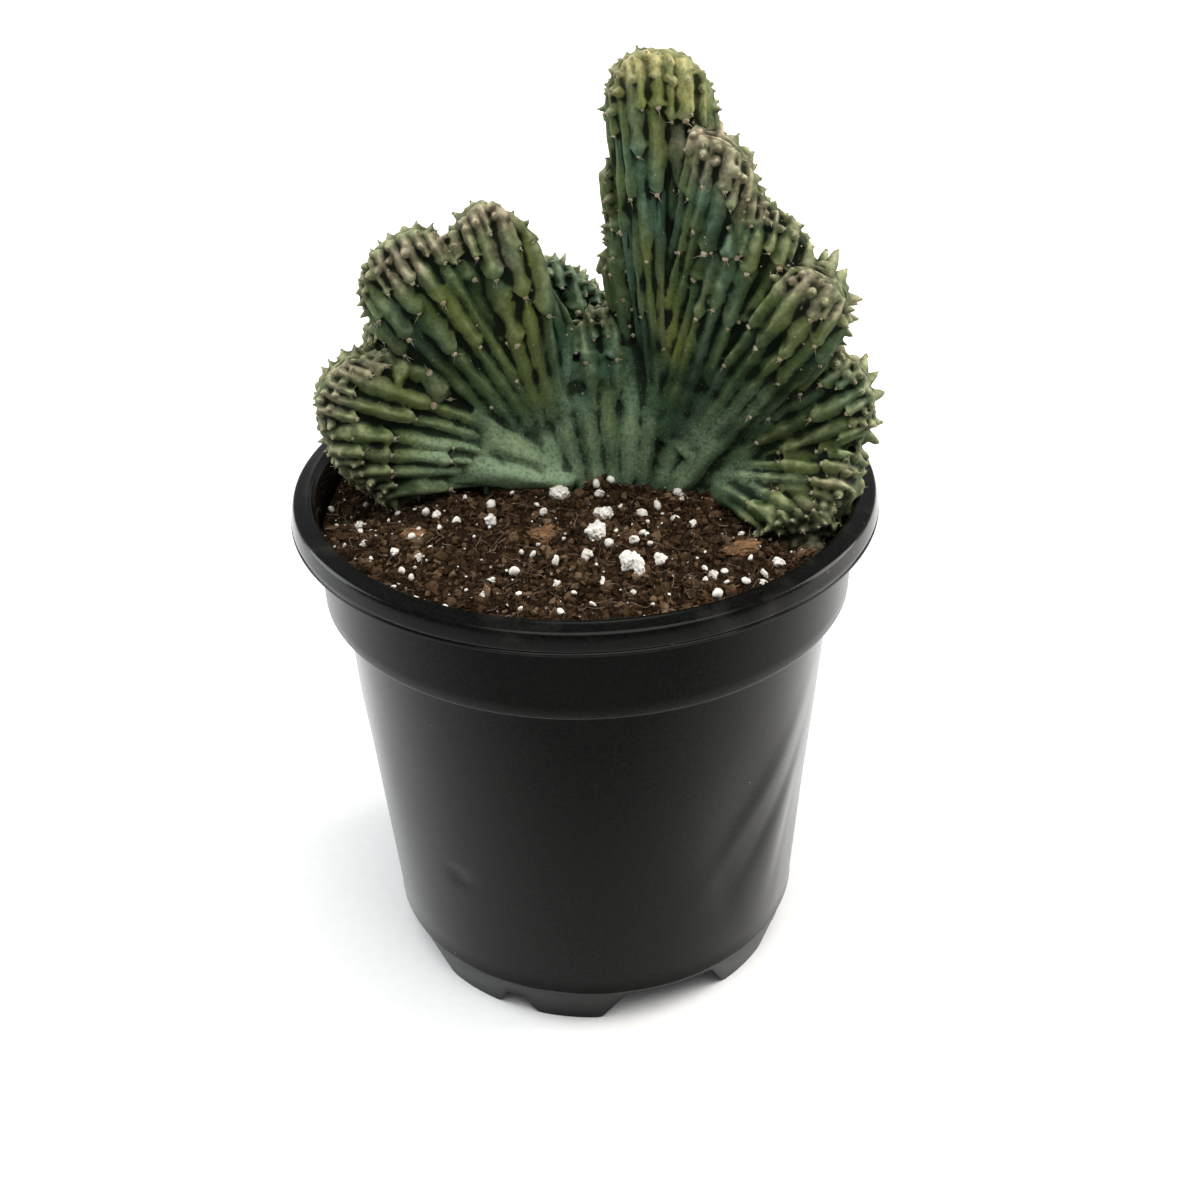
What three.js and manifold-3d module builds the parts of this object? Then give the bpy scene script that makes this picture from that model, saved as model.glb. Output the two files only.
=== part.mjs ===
// Crested blue myrtle cactus growing in a six-inch nursery pot.
// Millimetres, +Z up. The origin is the centre of the pot's foot on the surface it stands on,
// -Y is the front of the plant and +X its right. Angles round the pot are measured from the front,
// positive towards the right.

import * as THREE from 'three';
import { mergeVertices } from 'three/addons/utils/BufferGeometryUtils.js';
import Module from 'manifold-3d';

const wasm = await Module();
wasm.setup();

// ---------------------------------------------------------------- driving dimensions

const GAP = 0.3; // clearance between pieces that touch
const WELD = 1e-4; // vertices nearer than this are one vertex

const POT = {
  segments: 48,
  wall: 1.0,
  footRadius: 54.0,
  skirtTop: 12.4, // height of the foot skirt
  skirtRadius: 57.4,
  floorBottom: 12.0,
  floorTop: 13.4,
  ledge: 112.0, // height of the step where the neck band starts
  ledgeRise: 0.7,
  wallTopRadius: 65.3,
  neckRadius: 69.8,
  neckTopRadius: 70.5,
  lipUnder: 139.8, // underside of the rolled rim
  lipInner: 71.2,
  beadRadius: 76.2,
  beadBottom: 134.9,
  beadTop: 136.5,
  shoulderRadius: 74.7,
  shoulder: 140.6,
  rim: 141.5, // overall height of the pot
};

// Wall heights that carry a ring of vertices, so that the thin wall can buckle.
const BUCKLE_RINGS = [28, 46, 64, 81, 97];

// Soft bulges and dents of the thin wall: angle and height of the middle, spread, depth (+ is out).
const BUCKLES = [
  { angle: -97, height: 81, spreadAngle: 10, spreadHeight: 10, out: 1.8 },
  { angle: 38, height: 58, spreadAngle: 9, spreadHeight: 16, out: -0.9 },
  { angle: 54, height: 52, spreadAngle: 8, spreadHeight: 20, out: 0.8 },
  { angle: 68, height: 44, spreadAngle: 7, spreadHeight: 14, out: -0.7 },
];

const NOTCHES = {
  repeats: 4,
  wide: { angle: 20.5, bottom: 38.0, top: 24.0, height: 11.0 },
  narrow: { angle: 65.5, bottom: 12.0, top: 5.0, height: 7.0 },
  below: -1, // the cuts start under the feet and reach through the skirt
  from: 40,
  to: 62,
};

// Round holes in the floor: a ring of them and one in the middle.
const DRAINS = { count: 8, radius: 4.5, circle: 42, angle: 22.5, sides: 20 };

const SOIL = {
  segments: POT.segments,
  rings: 8,
  clearance: 0.5, // to the pot's floor and its buckled wall
  edge: 134.2, // soil level at the wall
  mound: 3.2, // rise towards the stem
  radius: 68.6, // plan radius of the top, at the neck
  lump: 0.5, // height of the lumps
  lumpPitch: 13,
};

// Places where the mix has sunk, under the overhanging folds.
const SINKS = [
  { x: -60, y: 4, spread: 11, depth: 5.0 },
  { x: 63, y: -16, spread: 10, depth: 4.0 },
];

// The buried stem and the trunk that all folds grow from: half width at each height.
const TRUNK = {
  centre: [3.5, 15],
  depthRatio: 0.36, // depth over width
  profile: [
    [0, 112], [15, 113.5], [24, 120], [31, 128], [36, 136], [36, 146], [31, 155], [20, 163], [0, 166],
  ],
  segments: 36,
};

const RIB_PITCH = 6.2; // spacing of the ribs along a fold
const RIB_HEIGHT = 1.3;
const FEWEST_RIBS = 5; // on the shortest fold
const FOLD_ROWS = 7;
const EDGE_FULLNESS = 0.75; // below 1 makes the side edges of a fold blunter than an ellipse's
const CAP_START = 0.72; // share of a fold's length where it starts to round over to its crest

// Each fold of the crest is a thick curved sheet. It grows from a short root line (middle and half
// length) to its crest line, bows by a vector half way up, and has a half thickness at both ends.
const FOLDS = [
  { // lowest left fold, its fingers lying level
    root: [-10, 11, 143], spread: [2, -1, -10], bow: [0, 2, 2], thick: [11, 9],
    crest: [[-43, 7, 182], [-57, 3, 177], [-65, 0, 164], [-65, -3, 150], [-53, -7, 139]],
  },
  { // dark fold behind it
    root: [-18, 18, 150], spread: [-6, 0, -8], bow: [0, 4, 3], thick: [9, 6],
    crest: [[-40, 15, 187], [-50, 16, 186], [-56, 15, 178], [-56, 13, 165]],
  },
  { // upper left fold
    root: [-14, 13, 147], spread: [-8, 0, -8], bow: [1, -3, 1], thick: [11, 8],
    crest: [[-27, 9, 201], [-39, 7, 206], [-50, 6, 201], [-54, 7, 190], [-50, 8, 179]],
  },
  { // upper left fold, inner half
    root: [-6, 14, 146], spread: [-12, 0, -2], bow: [0, -3, 0], thick: [11, 8],
    crest: [[-8, 17, 190], [-11, 15, 203], [-20, 11, 211], [-30, 9, 206], [-34, 9, 198]],
  },
  { // centre fold at the back
    root: [3, 21, 140], spread: [-12, 1, 0], bow: [0, 3, 0], thick: [10, 7],
    crest: [[13, 30, 168], [6, 31, 179], [-2, 30, 187], [-12, 27, 184]],
  },
  { // low centre fold in front of it
    root: [8, 14, 138], spread: [-13, 0, 0], bow: [0, -2, 0], thick: [12, 7],
    crest: [[20, 18, 174], [10, 17, 181], [1, 15, 179], [-5, 14, 170]],
  },
  { // tall fold
    root: [19, 14, 145], spread: [-9, 0, 1], bow: [-1, -2, 0], thick: [12, 9],
    crest: [[35, 13, 228], [30, 13, 240], [20, 11, 245], [12, 10, 240], [8, 9, 229]],
  },
  { // shoulder of the tall fold, round its own growing point
    root: [24, 11, 158], spread: [-10, 1, 1], bow: [2, 1, 0], thick: [11, 10],
    crest: [[45, 5, 206], [43, 1, 218], [35, -1, 226], [25, 2, 230]],
  },
  { // right fold, upper
    root: [27, 8, 150], spread: [-10, 0, 3], bow: [0, -4, 2], thick: [10, 9],
    crest: [[58, 3, 195], [52, 0, 206], [42, -2, 210], [32, -1, 206], [27, 0, 198]],
  },
  { // right fold, at the star-shaped growing point
    root: [30, 6, 147], spread: [-8, 0, 6], bow: [2, 0, 3], thick: [11, 10],
    crest: [[67, -10, 176], [65, -12, 188], [57, -10, 198], [47, -7, 200]],
  },
  { // right fold, lower
    root: [31, 6, 143], spread: [-4, 0, 8], bow: [0, -3, 0], thick: [10, 8],
    crest: [[66, -9, 148], [72, -8, 158], [70, -6, 170], [61, -4, 180]],
  },
  { // lowest right fold, round its growing point by the rim
    root: [34, 4, 139], spread: [1, 2, 8], bow: [0, -3, 0], thick: [9, 9],
    crest: [[58, -24, 137], [65, -20, 144], [66, -14, 153]],
  },
  { // short fold in front of it, lying on the soil
    root: [37, -2, 137], spread: [5, 3, 3], bow: [0, -1, 1], thick: [7, 7],
    crest: [[44, -23, 136], [54, -27, 138], [63, -24, 139]],
  },
];

// White perlite grains that stand out of the soil: place and width.
const GRAINS = [
  [11.5, -40.2, 6.8], [4.9, -15.5, 5.6], [3.2, -25.2, 6.0], [18.4, -37.7, 3.9], [-6.2, -3.6, 5.4],
  [-58.0, -11.5, 4.0], [-38.1, -13.0, 3.7], [0.6, -33.6, 3.5], [11.9, -28.3, 3.5], [22.8, -18.1, 3.2],
  [27.4, -20.8, 2.8], [24.6, -5.0, 3.2], [30.8, -42.2, 3.0], [47.0, -38.6, 3.4], [-55.4, -24.0, 3.2],
  [-47.7, -28.8, 3.0], [-40.9, -31.2, 3.0], [-45.0, -43.0, 2.8], [-23.1, -43.1, 2.9], [-24.6, -50.8, 2.9],
  [-23.9, -16.0, 3.6], [3.4, -46.8, 2.9], [-7.1, -47.2, 2.8], [42.6, -47.0, 2.9],
];
const GRAIN_PROUD = 0.12; // height of a grain's middle over the soil, as a share of its width
const GRAIN_ROUGH = 0.16; // unevenness of a grain's radius
const DIMPLE = 2 * GAP; // room in the soil round a faceted grain or chip
const FINE_GRAIN = 5; // grains from this width up get the finer shape

// Chips of bark lying in the soil: place, size, thickness and turn.
const CHIPS = [
  { x: -9.0, y: -22.5, length: 11.5, width: 7.5, thick: 3.2, turn: 20, tilt: 10 },
  { x: -42.5, y: -20.5, length: 9.5, width: 6.5, thick: 2.6, turn: -25, tilt: -12 },
  { x: 38.5, y: -31.5, length: 12.0, width: 5.5, thick: 2.4, turn: 32, tilt: 6 },
];
const CHIP_OUTLINE = [
  [-0.5, -0.1], [-0.3, -0.42], [0.1, -0.5], [0.42, -0.3],
  [0.5, 0.05], [0.25, 0.36], [-0.05, 0.5], [-0.38, 0.3],
];

// ---------------------------------------------------------------- finishes

const finish = (color, roughness, metalness = 0) =>
  new THREE.MeshStandardMaterial({ color, roughness, metalness });

const POT_BLACK = finish(0x1b1c1c, 0.42);
const MIX_BROWN = finish(0x3a261b, 0.95);
const CACTUS_GREEN = finish(0x4c6b52, 0.62);
const BARK_BROWN = finish(0x7a5434, 0.85);
const PERLITE_WHITE = finish(0xf0ece4, 0.9);

// ---------------------------------------------------------------- solids and meshes

function toSolid(geometry) {
  const bare = new THREE.BufferGeometry();
  bare.setAttribute('position', geometry.getAttribute('position').clone());
  bare.setIndex(geometry.getIndex());
  const welded = mergeVertices(bare, WELD);
  return new wasm.Manifold(new wasm.Mesh({
    numProp: 3,
    vertProperties: new Float32Array(welded.getAttribute('position').array),
    triVerts: new Uint32Array(welded.getIndex().array),
  }));
}

function toGeometry(solid) {
  const { vertProperties, triVerts } = solid.getMesh();
  const geometry = new THREE.BufferGeometry();
  geometry.setAttribute('position', new THREE.BufferAttribute(vertProperties, 3));
  geometry.setIndex(new THREE.BufferAttribute(triVerts, 1));
  geometry.computeVertexNormals();
  return geometry;
}

// The outer skin of a joined solid: slivers cut loose and spaces sealed inside it are left out.
function largestBody(solid) {
  return solid.decompose().reduce((best, body) => (body.volume() > best.volume() ? body : best));
}

function namedMesh(name, solid, material) {
  const mesh = new THREE.Mesh(toGeometry(solid), material);
  mesh.name = name;
  return mesh;
}

// A body of revolution round +Z from a profile of [radius, height] that starts and ends on the axis.
function turned(profile, segments) {
  const points = profile.map(([radius, height]) => new THREE.Vector2(radius, height));
  return new THREE.LatheGeometry(points, segments).rotateX(Math.PI / 2);
}

function moveVertices(geometry, move) {
  const position = geometry.getAttribute('position');
  const point = new THREE.Vector3();
  for (let i = 0; i < position.count; i++) {
    move(point.fromBufferAttribute(position, i), i);
    position.setXYZ(i, point.x, point.y, point.z);
  }
  return geometry;
}

const bell = (distance, spread) => Math.exp(-((distance / spread) ** 2) / 2);

// ---------------------------------------------------------------- nursery pot

function wallRadius(height) {
  const share = (height - POT.skirtTop) / (POT.ledge - POT.skirtTop);
  return THREE.MathUtils.lerp(POT.skirtRadius, POT.wallTopRadius, share);
}

// Moves a point of the thin wall, or of the soil against it, in or out with the buckles.
function buckle(point) {
  const angle = THREE.MathUtils.radToDeg(Math.atan2(point.x, -point.y));
  const radius = Math.hypot(point.x, point.y);
  let out = 0;
  for (const { angle: middle, height, spreadAngle, spreadHeight, out: depth } of BUCKLES) {
    out += depth * bell(angle - middle, spreadAngle) * bell(point.z - height, spreadHeight);
  }
  const onWall = radius > POT.footRadius && point.z > POT.floorTop && point.z < POT.ledge;
  const scale = onWall ? (radius + out) / radius : 1;
  point.x *= scale;
  point.y *= scale;
}

// The inner face of the wall from the rim down to the floor, at a clearance from it.
function insideProfile(clearance = 0) {
  const inset = POT.wall + clearance;
  const rings = [...BUCKLE_RINGS].reverse().map((height) => [wallRadius(height) - inset, height]);
  return [
    [POT.neckRadius - inset, POT.ledge + POT.ledgeRise + POT.wall + clearance],
    [POT.wallTopRadius - inset, POT.ledge + POT.wall + clearance],
    ...rings,
    [wallRadius(POT.floorTop) - inset, POT.floorTop + clearance],
  ];
}

function nurseryPot() {
  const profile = [
    [0, POT.floorBottom],
    [POT.skirtRadius - 1.2 * POT.wall, POT.floorBottom],
    [POT.footRadius - POT.wall, 0],
    [POT.footRadius, 0],
    [POT.skirtRadius, POT.skirtTop],
    ...BUCKLE_RINGS.map((height) => [wallRadius(height), height]),
    [POT.wallTopRadius, POT.ledge],
    [POT.neckRadius, POT.ledge + POT.ledgeRise],
    [POT.neckTopRadius, POT.lipUnder],
    [POT.shoulderRadius - POT.wall, POT.lipUnder],
    [POT.beadRadius - POT.wall, POT.beadBottom],
    [POT.beadRadius, POT.beadBottom],
    [POT.beadRadius, POT.beadTop],
    [POT.shoulderRadius, POT.shoulder],
    [POT.shoulderRadius - POT.wall, POT.rim],
    [POT.lipInner, POT.rim],
    [POT.neckTopRadius - POT.wall, POT.lipUnder],
    ...insideProfile(),
    [0, POT.floorTop],
  ];
  let pot = toSolid(moveVertices(turned(profile, POT.segments), buckle));
  for (const cut of [...footNotches(), ...drainHoles()]) {
    pot = pot.subtract(cut);
  }
  return pot;
}

// Trapezoid gaps in the skirt that leave eight feet, in four wide and four narrow ones.
function footNotches() {
  const cuts = [];
  for (const { angle, bottom, top, height } of [NOTCHES.wide, NOTCHES.narrow]) {
    const outline = new THREE.Shape();
    outline.moveTo(-bottom / 2, NOTCHES.below);
    outline.lineTo(bottom / 2, NOTCHES.below);
    outline.lineTo(top / 2, height);
    outline.lineTo(-top / 2, height);
    for (let i = 0; i < NOTCHES.repeats; i++) {
      const depth = NOTCHES.to - NOTCHES.from;
      const cut = new THREE.ExtrudeGeometry(outline, { depth, bevelEnabled: false });
      cut.translate(0, 0, NOTCHES.from);
      cut.rotateX(Math.PI / 2);
      cut.rotateZ(THREE.MathUtils.degToRad(angle) + (i * 2 * Math.PI) / NOTCHES.repeats);
      cuts.push(toSolid(cut));
    }
  }
  return cuts;
}

function drainHoles() {
  const length = 4 * (POT.floorTop - POT.floorBottom);
  const middle = (POT.floorTop + POT.floorBottom) / 2;
  const places = [[0, 0]];
  for (let i = 0; i < DRAINS.count; i++) {
    const angle = THREE.MathUtils.degToRad(DRAINS.angle) + (i * 2 * Math.PI) / DRAINS.count;
    places.push([DRAINS.circle * Math.sin(angle), -DRAINS.circle * Math.cos(angle)]);
  }
  return places.map(([x, y]) => toSolid(
    new THREE.CylinderGeometry(DRAINS.radius, DRAINS.radius, length, DRAINS.sides)
      .rotateX(Math.PI / 2)
      .translate(x, y, middle),
  ));
}

// ---------------------------------------------------------------- potting mix

function soilHeight(x, y) {
  const share = Math.min(1, Math.hypot(x, y) / SOIL.radius);
  const wave = (2 * Math.PI) / SOIL.lumpPitch;
  const short = Math.sin(x * wave) * Math.cos(0.8 * y * wave);
  const long = Math.sin(0.45 * (x + y) * wave);
  let height = SOIL.edge + SOIL.mound * (1 - share ** 2) + SOIL.lump * (short + long) * (1 - share ** 6);
  for (const { x: sinkX, y: sinkY, spread, depth } of SINKS) {
    height -= depth * bell(Math.hypot(x - sinkX, y - sinkY), spread);
  }
  return height;
}

// Concentric rings of the soil's top face, from the wall to the middle, raised by a clearance.
function soilTop(rise) {
  const rings = [];
  for (let i = 0; i <= SOIL.rings; i++) {
    rings.push([SOIL.radius * (1 - i / SOIL.rings), SOIL.edge + rise]);
  }
  return rings;
}

function followSoil(rise) {
  return (point) => {
    if (point.z > SOIL.edge + rise - GAP / 2) {
      point.z = soilHeight(point.x, point.y) + rise;
    }
  };
}

function pottingMix(cuts) {
  const side = insideProfile(SOIL.clearance).reverse();
  const profile = [[0, POT.floorTop + SOIL.clearance], ...side, ...soilTop(0)];
  const plug = turned(profile, SOIL.segments);
  let mix = toSolid(moveVertices(moveVertices(plug, buckle), followSoil(0)));
  for (const cut of cuts) {
    mix = mix.subtract(cut);
  }
  return largestBody(mix);
}

// ---------------------------------------------------------------- crested cactus

function trunk(grow = 0) {
  const widened = TRUNK.profile.map(([half, height], i) => {
    const onAxis = i === 0 || i === TRUNK.profile.length - 1;
    return [onAxis ? 0 : half + grow / TRUNK.depthRatio, i === 0 ? height - grow : height];
  });
  return toSolid(turned(widened, TRUNK.segments)
    .scale(1, TRUNK.depthRatio, 1)
    .translate(TRUNK.centre[0], TRUNK.centre[1], 0));
}

const vector = (xyz) => new THREE.Vector3(...xyz);

// A point of a fold's middle sheet: across runs from -1 to 1 along the crest, up from 0 to 1.
function sheetPoint(fold, crest, across, up) {
  const root = vector(fold.root).addScaledVector(vector(fold.spread), across);
  const top = crest.getPoint((across + 1) / 2);
  const middle = root.clone().lerp(top, 0.5).add(vector(fold.bow));
  return new THREE.QuadraticBezierCurve3(root, middle, top).getPoint(up);
}

function sheetNormal(fold, crest, across, up) {
  const step = 0.02; // share of the sheet that the slopes are taken over
  const left = sheetPoint(fold, crest, Math.max(-1, across - step), up);
  const right = sheetPoint(fold, crest, Math.min(1, across + step), up);
  const low = sheetPoint(fold, crest, across, up - step);
  const high = sheetPoint(fold, crest, across, Math.min(1, up + step));
  return right.sub(left).cross(high.sub(low)).normalize();
}

function halfThickness(fold, up) {
  const [atRoot, atCrest] = fold.thick;
  const full = THREE.MathUtils.lerp(atRoot, atCrest, up);
  const beyond = Math.max(0, (up - CAP_START) / (1 - CAP_START));
  return full * Math.sqrt(1 - beyond * beyond);
}

// A fold as a closed skin: rings round the sheet from the root to the crest line, four columns
// to a pair of ribs, one on the front and one on the back.
function foldSkin(fold) {
  const crest = new THREE.CatmullRomCurve3(fold.crest.map(vector));
  const ribs = Math.max(FEWEST_RIBS, Math.round(crest.getLength() / RIB_PITCH) + 2);
  const columns = 4 * ribs;
  const positions = [];
  const index = [];
  for (let row = 0; row <= FOLD_ROWS; row++) {
    const up = row / FOLD_ROWS;
    for (let column = 0; column < columns; column++) {
      const turn = (2 * Math.PI * column) / columns;
      const across = Math.cos(turn);
      const side = Math.sign(Math.sin(turn)) * Math.abs(Math.sin(turn)) ** EDGE_FULLNESS;
      const thickness = halfThickness(fold, up) * side;
      const point = sheetPoint(fold, crest, across, up);
      point.addScaledVector(sheetNormal(fold, crest, across, up), thickness);
      positions.push(point.x, point.y, point.z);
    }
  }
  for (let row = 0; row < FOLD_ROWS; row++) {
    for (let column = 0; column < columns; column++) {
      const a = row * columns + column;
      const b = row * columns + ((column + 1) % columns);
      index.push(a, a + columns, b, b, a + columns, b + columns);
    }
  }
  positions.push(...fold.root);
  const centre = positions.length / 3 - 1;
  for (let column = 0; column < columns; column++) {
    index.push(column, (column + 1) % columns, centre);
  }
  return { positions, index, columns };
}

// The skin with its ridges pushed out and its grooves pulled in.
function foldSolid(fold) {
  const { positions, index, columns } = foldSkin(fold);
  const geometry = new THREE.BufferGeometry();
  geometry.setAttribute('position', new THREE.Float32BufferAttribute(positions, 3));
  geometry.setIndex(index);
  geometry.computeVertexNormals();
  const normal = geometry.getAttribute('normal').clone();
  const out = new THREE.Vector3();
  moveVertices(geometry, (point, i) => {
    const row = Math.floor(i / columns);
    if (row === 0 || row >= FOLD_ROWS) {
      return;
    }
    const ridge = i % 2 === 0 ? 1 : -1;
    const depth = RIB_HEIGHT * Math.sqrt(row / FOLD_ROWS) * ridge;
    point.addScaledVector(out.fromBufferAttribute(normal, i), depth);
  });
  return toSolid(geometry);
}

// Everything that the folds stay clear of: the soil, and the wall and rim round it.
function growthLimit() {
  const outside = 1.1 * POT.beadRadius;
  const below = POT.ledge;
  const soil = [[0, below], [outside, below], [outside, SOIL.edge + GAP], ...soilTop(GAP)];
  const wall = [
    [SOIL.radius - GAP, below], [outside, below], [outside, POT.rim + GAP],
    [POT.lipInner - GAP, POT.rim + GAP], [POT.neckTopRadius - POT.wall - GAP, POT.lipUnder],
    [SOIL.radius - GAP, below],
  ];
  const mound = toSolid(moveVertices(turned(soil, SOIL.segments), followSoil(GAP)));
  return mound.add(toSolid(turned(wall, POT.segments)));
}

function cactusCrest() {
  let folds = FOLDS.map(foldSolid).reduce((joined, fold) => joined.add(fold));
  folds = folds.subtract(growthLimit());
  return largestBody(folds.add(trunk()));
}

// ---------------------------------------------------------------- perlite and bark

// A repeatable scatter between -1 and 1 for a vertex direction and a grain number.
function scatter(point, seed) {
  const mixed = Math.sin(point.x * 127.1 + point.y * 311.7 + point.z * 74.7 + seed * 19.3) * 43758.5;
  return 2 * (mixed - Math.floor(mixed)) - 1;
}

function grainSolid([x, y, width], seed, grow = 0) {
  const detail = width >= FINE_GRAIN ? 1 : 0;
  const round = new THREE.IcosahedronGeometry(1, detail);
  moveVertices(round, (point) => {
    const direction = point.clone().multiplyScalar(2).round();
    const radius = (width / 2) * (1 + GRAIN_ROUGH * scatter(direction, seed));
    point.multiplyScalar(radius + grow);
  });
  return toSolid(round.translate(x, y, soilHeight(x, y) + GRAIN_PROUD * width));
}

function chipSolid({ x, y, length, width, thick, turn, tilt }, grow = 0) {
  const outline = new THREE.Shape(CHIP_OUTLINE.map(([across, along]) =>
    new THREE.Vector2(across * (length + 2 * grow), along * (width + 2 * grow))));
  const height = thick + 2 * grow;
  const chip = new THREE.ExtrudeGeometry(outline, { depth: height, bevelEnabled: false });
  chip.translate(0, 0, -height / 2);
  chip.rotateX(THREE.MathUtils.degToRad(tilt));
  chip.rotateZ(THREE.MathUtils.degToRad(turn));
  return toSolid(chip.translate(x, y, soilHeight(x, y)));
}

// ---------------------------------------------------------------- assembly

const number = (i) => String(i + 1).padStart(2, '0');
const hollows = [
  trunk(1.2 * GAP),
  ...GRAINS.map((grain, i) => grainSolid(grain, i, DIMPLE)),
  ...CHIPS.map((chip) => chipSolid(chip, DIMPLE)),
];

const group = new THREE.Group();
group.add(namedMesh('nursery_pot', nurseryPot(), POT_BLACK));
group.add(namedMesh('potting_mix', pottingMix(hollows), MIX_BROWN));
group.add(namedMesh('cactus_crest', cactusCrest(), CACTUS_GREEN));
CHIPS.forEach((chip, i) => {
  group.add(namedMesh(`bark_chip_${number(i)}`, chipSolid(chip), BARK_BROWN));
});
GRAINS.forEach((grain, i) => {
  group.add(namedMesh(`perlite_grain_${number(i)}`, grainSolid(grain, i), PERLITE_WHITE));
});

export default group;
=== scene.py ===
import math
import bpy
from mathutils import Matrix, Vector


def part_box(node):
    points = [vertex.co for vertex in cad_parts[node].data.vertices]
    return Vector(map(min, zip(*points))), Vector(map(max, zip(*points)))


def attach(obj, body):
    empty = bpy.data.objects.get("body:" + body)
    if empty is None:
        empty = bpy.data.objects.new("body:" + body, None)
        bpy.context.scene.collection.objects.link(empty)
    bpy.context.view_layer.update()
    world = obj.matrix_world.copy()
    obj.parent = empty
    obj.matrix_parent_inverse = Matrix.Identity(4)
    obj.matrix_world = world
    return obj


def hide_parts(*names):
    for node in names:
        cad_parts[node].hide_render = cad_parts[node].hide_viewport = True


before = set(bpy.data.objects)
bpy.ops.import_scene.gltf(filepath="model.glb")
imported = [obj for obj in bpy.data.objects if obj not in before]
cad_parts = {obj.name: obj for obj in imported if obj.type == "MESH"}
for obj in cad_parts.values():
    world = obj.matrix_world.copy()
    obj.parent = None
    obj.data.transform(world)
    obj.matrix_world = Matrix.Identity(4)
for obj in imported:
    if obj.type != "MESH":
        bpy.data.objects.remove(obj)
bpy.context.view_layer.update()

from types import SimpleNamespace

import bmesh
import bpy
import numpy as np
from mathutils import Matrix, Vector
from mathutils import noise
from mathutils.bvhtree import BVHTree

# A crested blue myrtle cactus in a black nursery pot. Places and sizes below are millimetres, +Z up, with
# the origin at the middle of the pot's foot, -Y the front and +X the right, and become metres with MM
# where a mesh is made. Angles round the pot are degrees from the front, positive to the right.

MM = 0.001
TAU = 2 * math.pi
BODY = "root"

# ---------------------------------------------------------------- sizes

POT = SimpleNamespace(
    segments=360,
    wall=1.0,
    foot_radius=54.0,
    skirt_top=12.4,
    skirt_radius=57.4,
    skirt_lip=0.22,
    floor_bottom=12.0,
    floor_top=13.4,
    floor_edge=56.2,
    floor_rings=(15.0, 30.0, 45.0),
    ledge=112.0,
    wall_top_radius=65.3,
    neck_foot=113.2,
    neck_foot_radius=69.85,
    neck_top_radius=70.5,
    neck_top=139.2,
    lip_under=139.8,
    lip_inner=71.2,
    rim=141.5,
    wall_rows=36,
    neck_rows=8,
)
# Outer side of the rolled rim, from under it over the top to its inner edge, as radius and height.
RIM_OUTLINE = [
    (70.7, 139.65), (71.2, 139.8), (73.3, 139.8), (73.8, 139.6), (74.1, 139.0), (75.2, 135.3),
    (75.3, 134.9), (75.5, 134.75), (76.2, 134.75), (76.45, 134.95), (76.5, 135.25), (76.4, 135.5),
    (76.1, 135.65), (76.02, 135.8), (76.15, 135.95), (76.3, 136.15), (76.32, 136.5), (76.2, 137.2),
    (75.95, 138.3), (75.65, 139.5), (75.45, 140.0), (75.2, 140.3), (74.85, 140.5), (74.4, 140.62),
    (73.6, 140.8), (72.8, 141.0), (72.2, 141.1), (71.75, 141.35), (71.25, 141.5), (70.95, 141.4),
    (70.7, 141.1), (70.5, 140.7), (70.2, 140.2), (69.9, 139.8), (69.6, 139.2),
]
# Soft bulges, dents and creases of the thin wall: angle and height of the middle, the spread round the
# pot in degrees and upwards, how far it stands out, and its lean in degrees per millimetre of height.
BUCKLES = [
    (-97, 81, 10, 10, 1.8, 0.0),
    (38, 58, 9, 16, -0.9, 0.0),
    (54, 52, 8, 20, 0.8, 0.0),
    (68, 44, 7, 14, -0.7, 0.0),
    (45, 66, 3.0, 14, 0.36, 0.65),
    (52, 60, 2.6, 13, -0.32, 0.60),
    (60, 44, 2.8, 12, -0.28, 0.25),
    (36, 40, 3.0, 9, -0.30, -0.30),
    (-37, 47, 2.6, 1.1, -0.55, 0.0),
    (-63, 60, 9, 24, 0.35, 0.0),
    (150, 70, 11, 18, -0.5, 0.2),
]
# Notches of the skirt: angle of the first one, width at the foot and at the top, height.
NOTCHES = [(20.5, 38.0, 24.0, 11.0), (65.5, 12.0, 5.0, 7.0)]
NOTCH_REPEATS = 4
NOTCH_BELOW = 1.0  # the sides of a notch start this far below the foot
DRAINS = SimpleNamespace(count=8, radius=4.5, circle=42.0, angle=22.5, sides=40, beyond=2.0)

SOIL = SimpleNamespace(
    clearance=0.5,
    edge=134.2,
    mound=3.2,
    radius=68.6,
    lump=0.5,
    lump_pitch=13.0,
    columns=320,
    rings=104,
    side_rows=12,
    face_steps=130,
    stem_clearing=33,
)
# Hollows under the low folds: place, spread and depth.
SINKS = [((-60, 4), 11, 5.0), ((63, -16), 10, 4.0)]
# Clods and hollows of the mix: size across and height of the unevenness, coarse to fine.
SOIL_ROUGHNESS = [(10.0, 1.8), (4.2, 1.4), (1.6, 0.6)]

CHIP_TURNS = (20, -25, 32)  # direction of each bark chip's fibres, in degrees from +X
GRAINS = 24  # perlite grains that have a CAD solid of their own
LARGE_GRAIN = 2.4  # half size from which a perlite grain gets the finer mesh

TRUNK = SimpleNamespace(
    centre=(3.5, 15),
    depth_ratio=0.29,
    # half width and height, from the foot in the mix to the top between the folds
    profile=[
        (0, 112), (15, 113.5), (24, 120), (31, 128), (36, 136), (36, 146), (31, 155), (20, 163), (0, 166),
    ],
    flutes=22,
    flute_depth=0.035,
    rows=30,
    columns=132,
)

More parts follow.
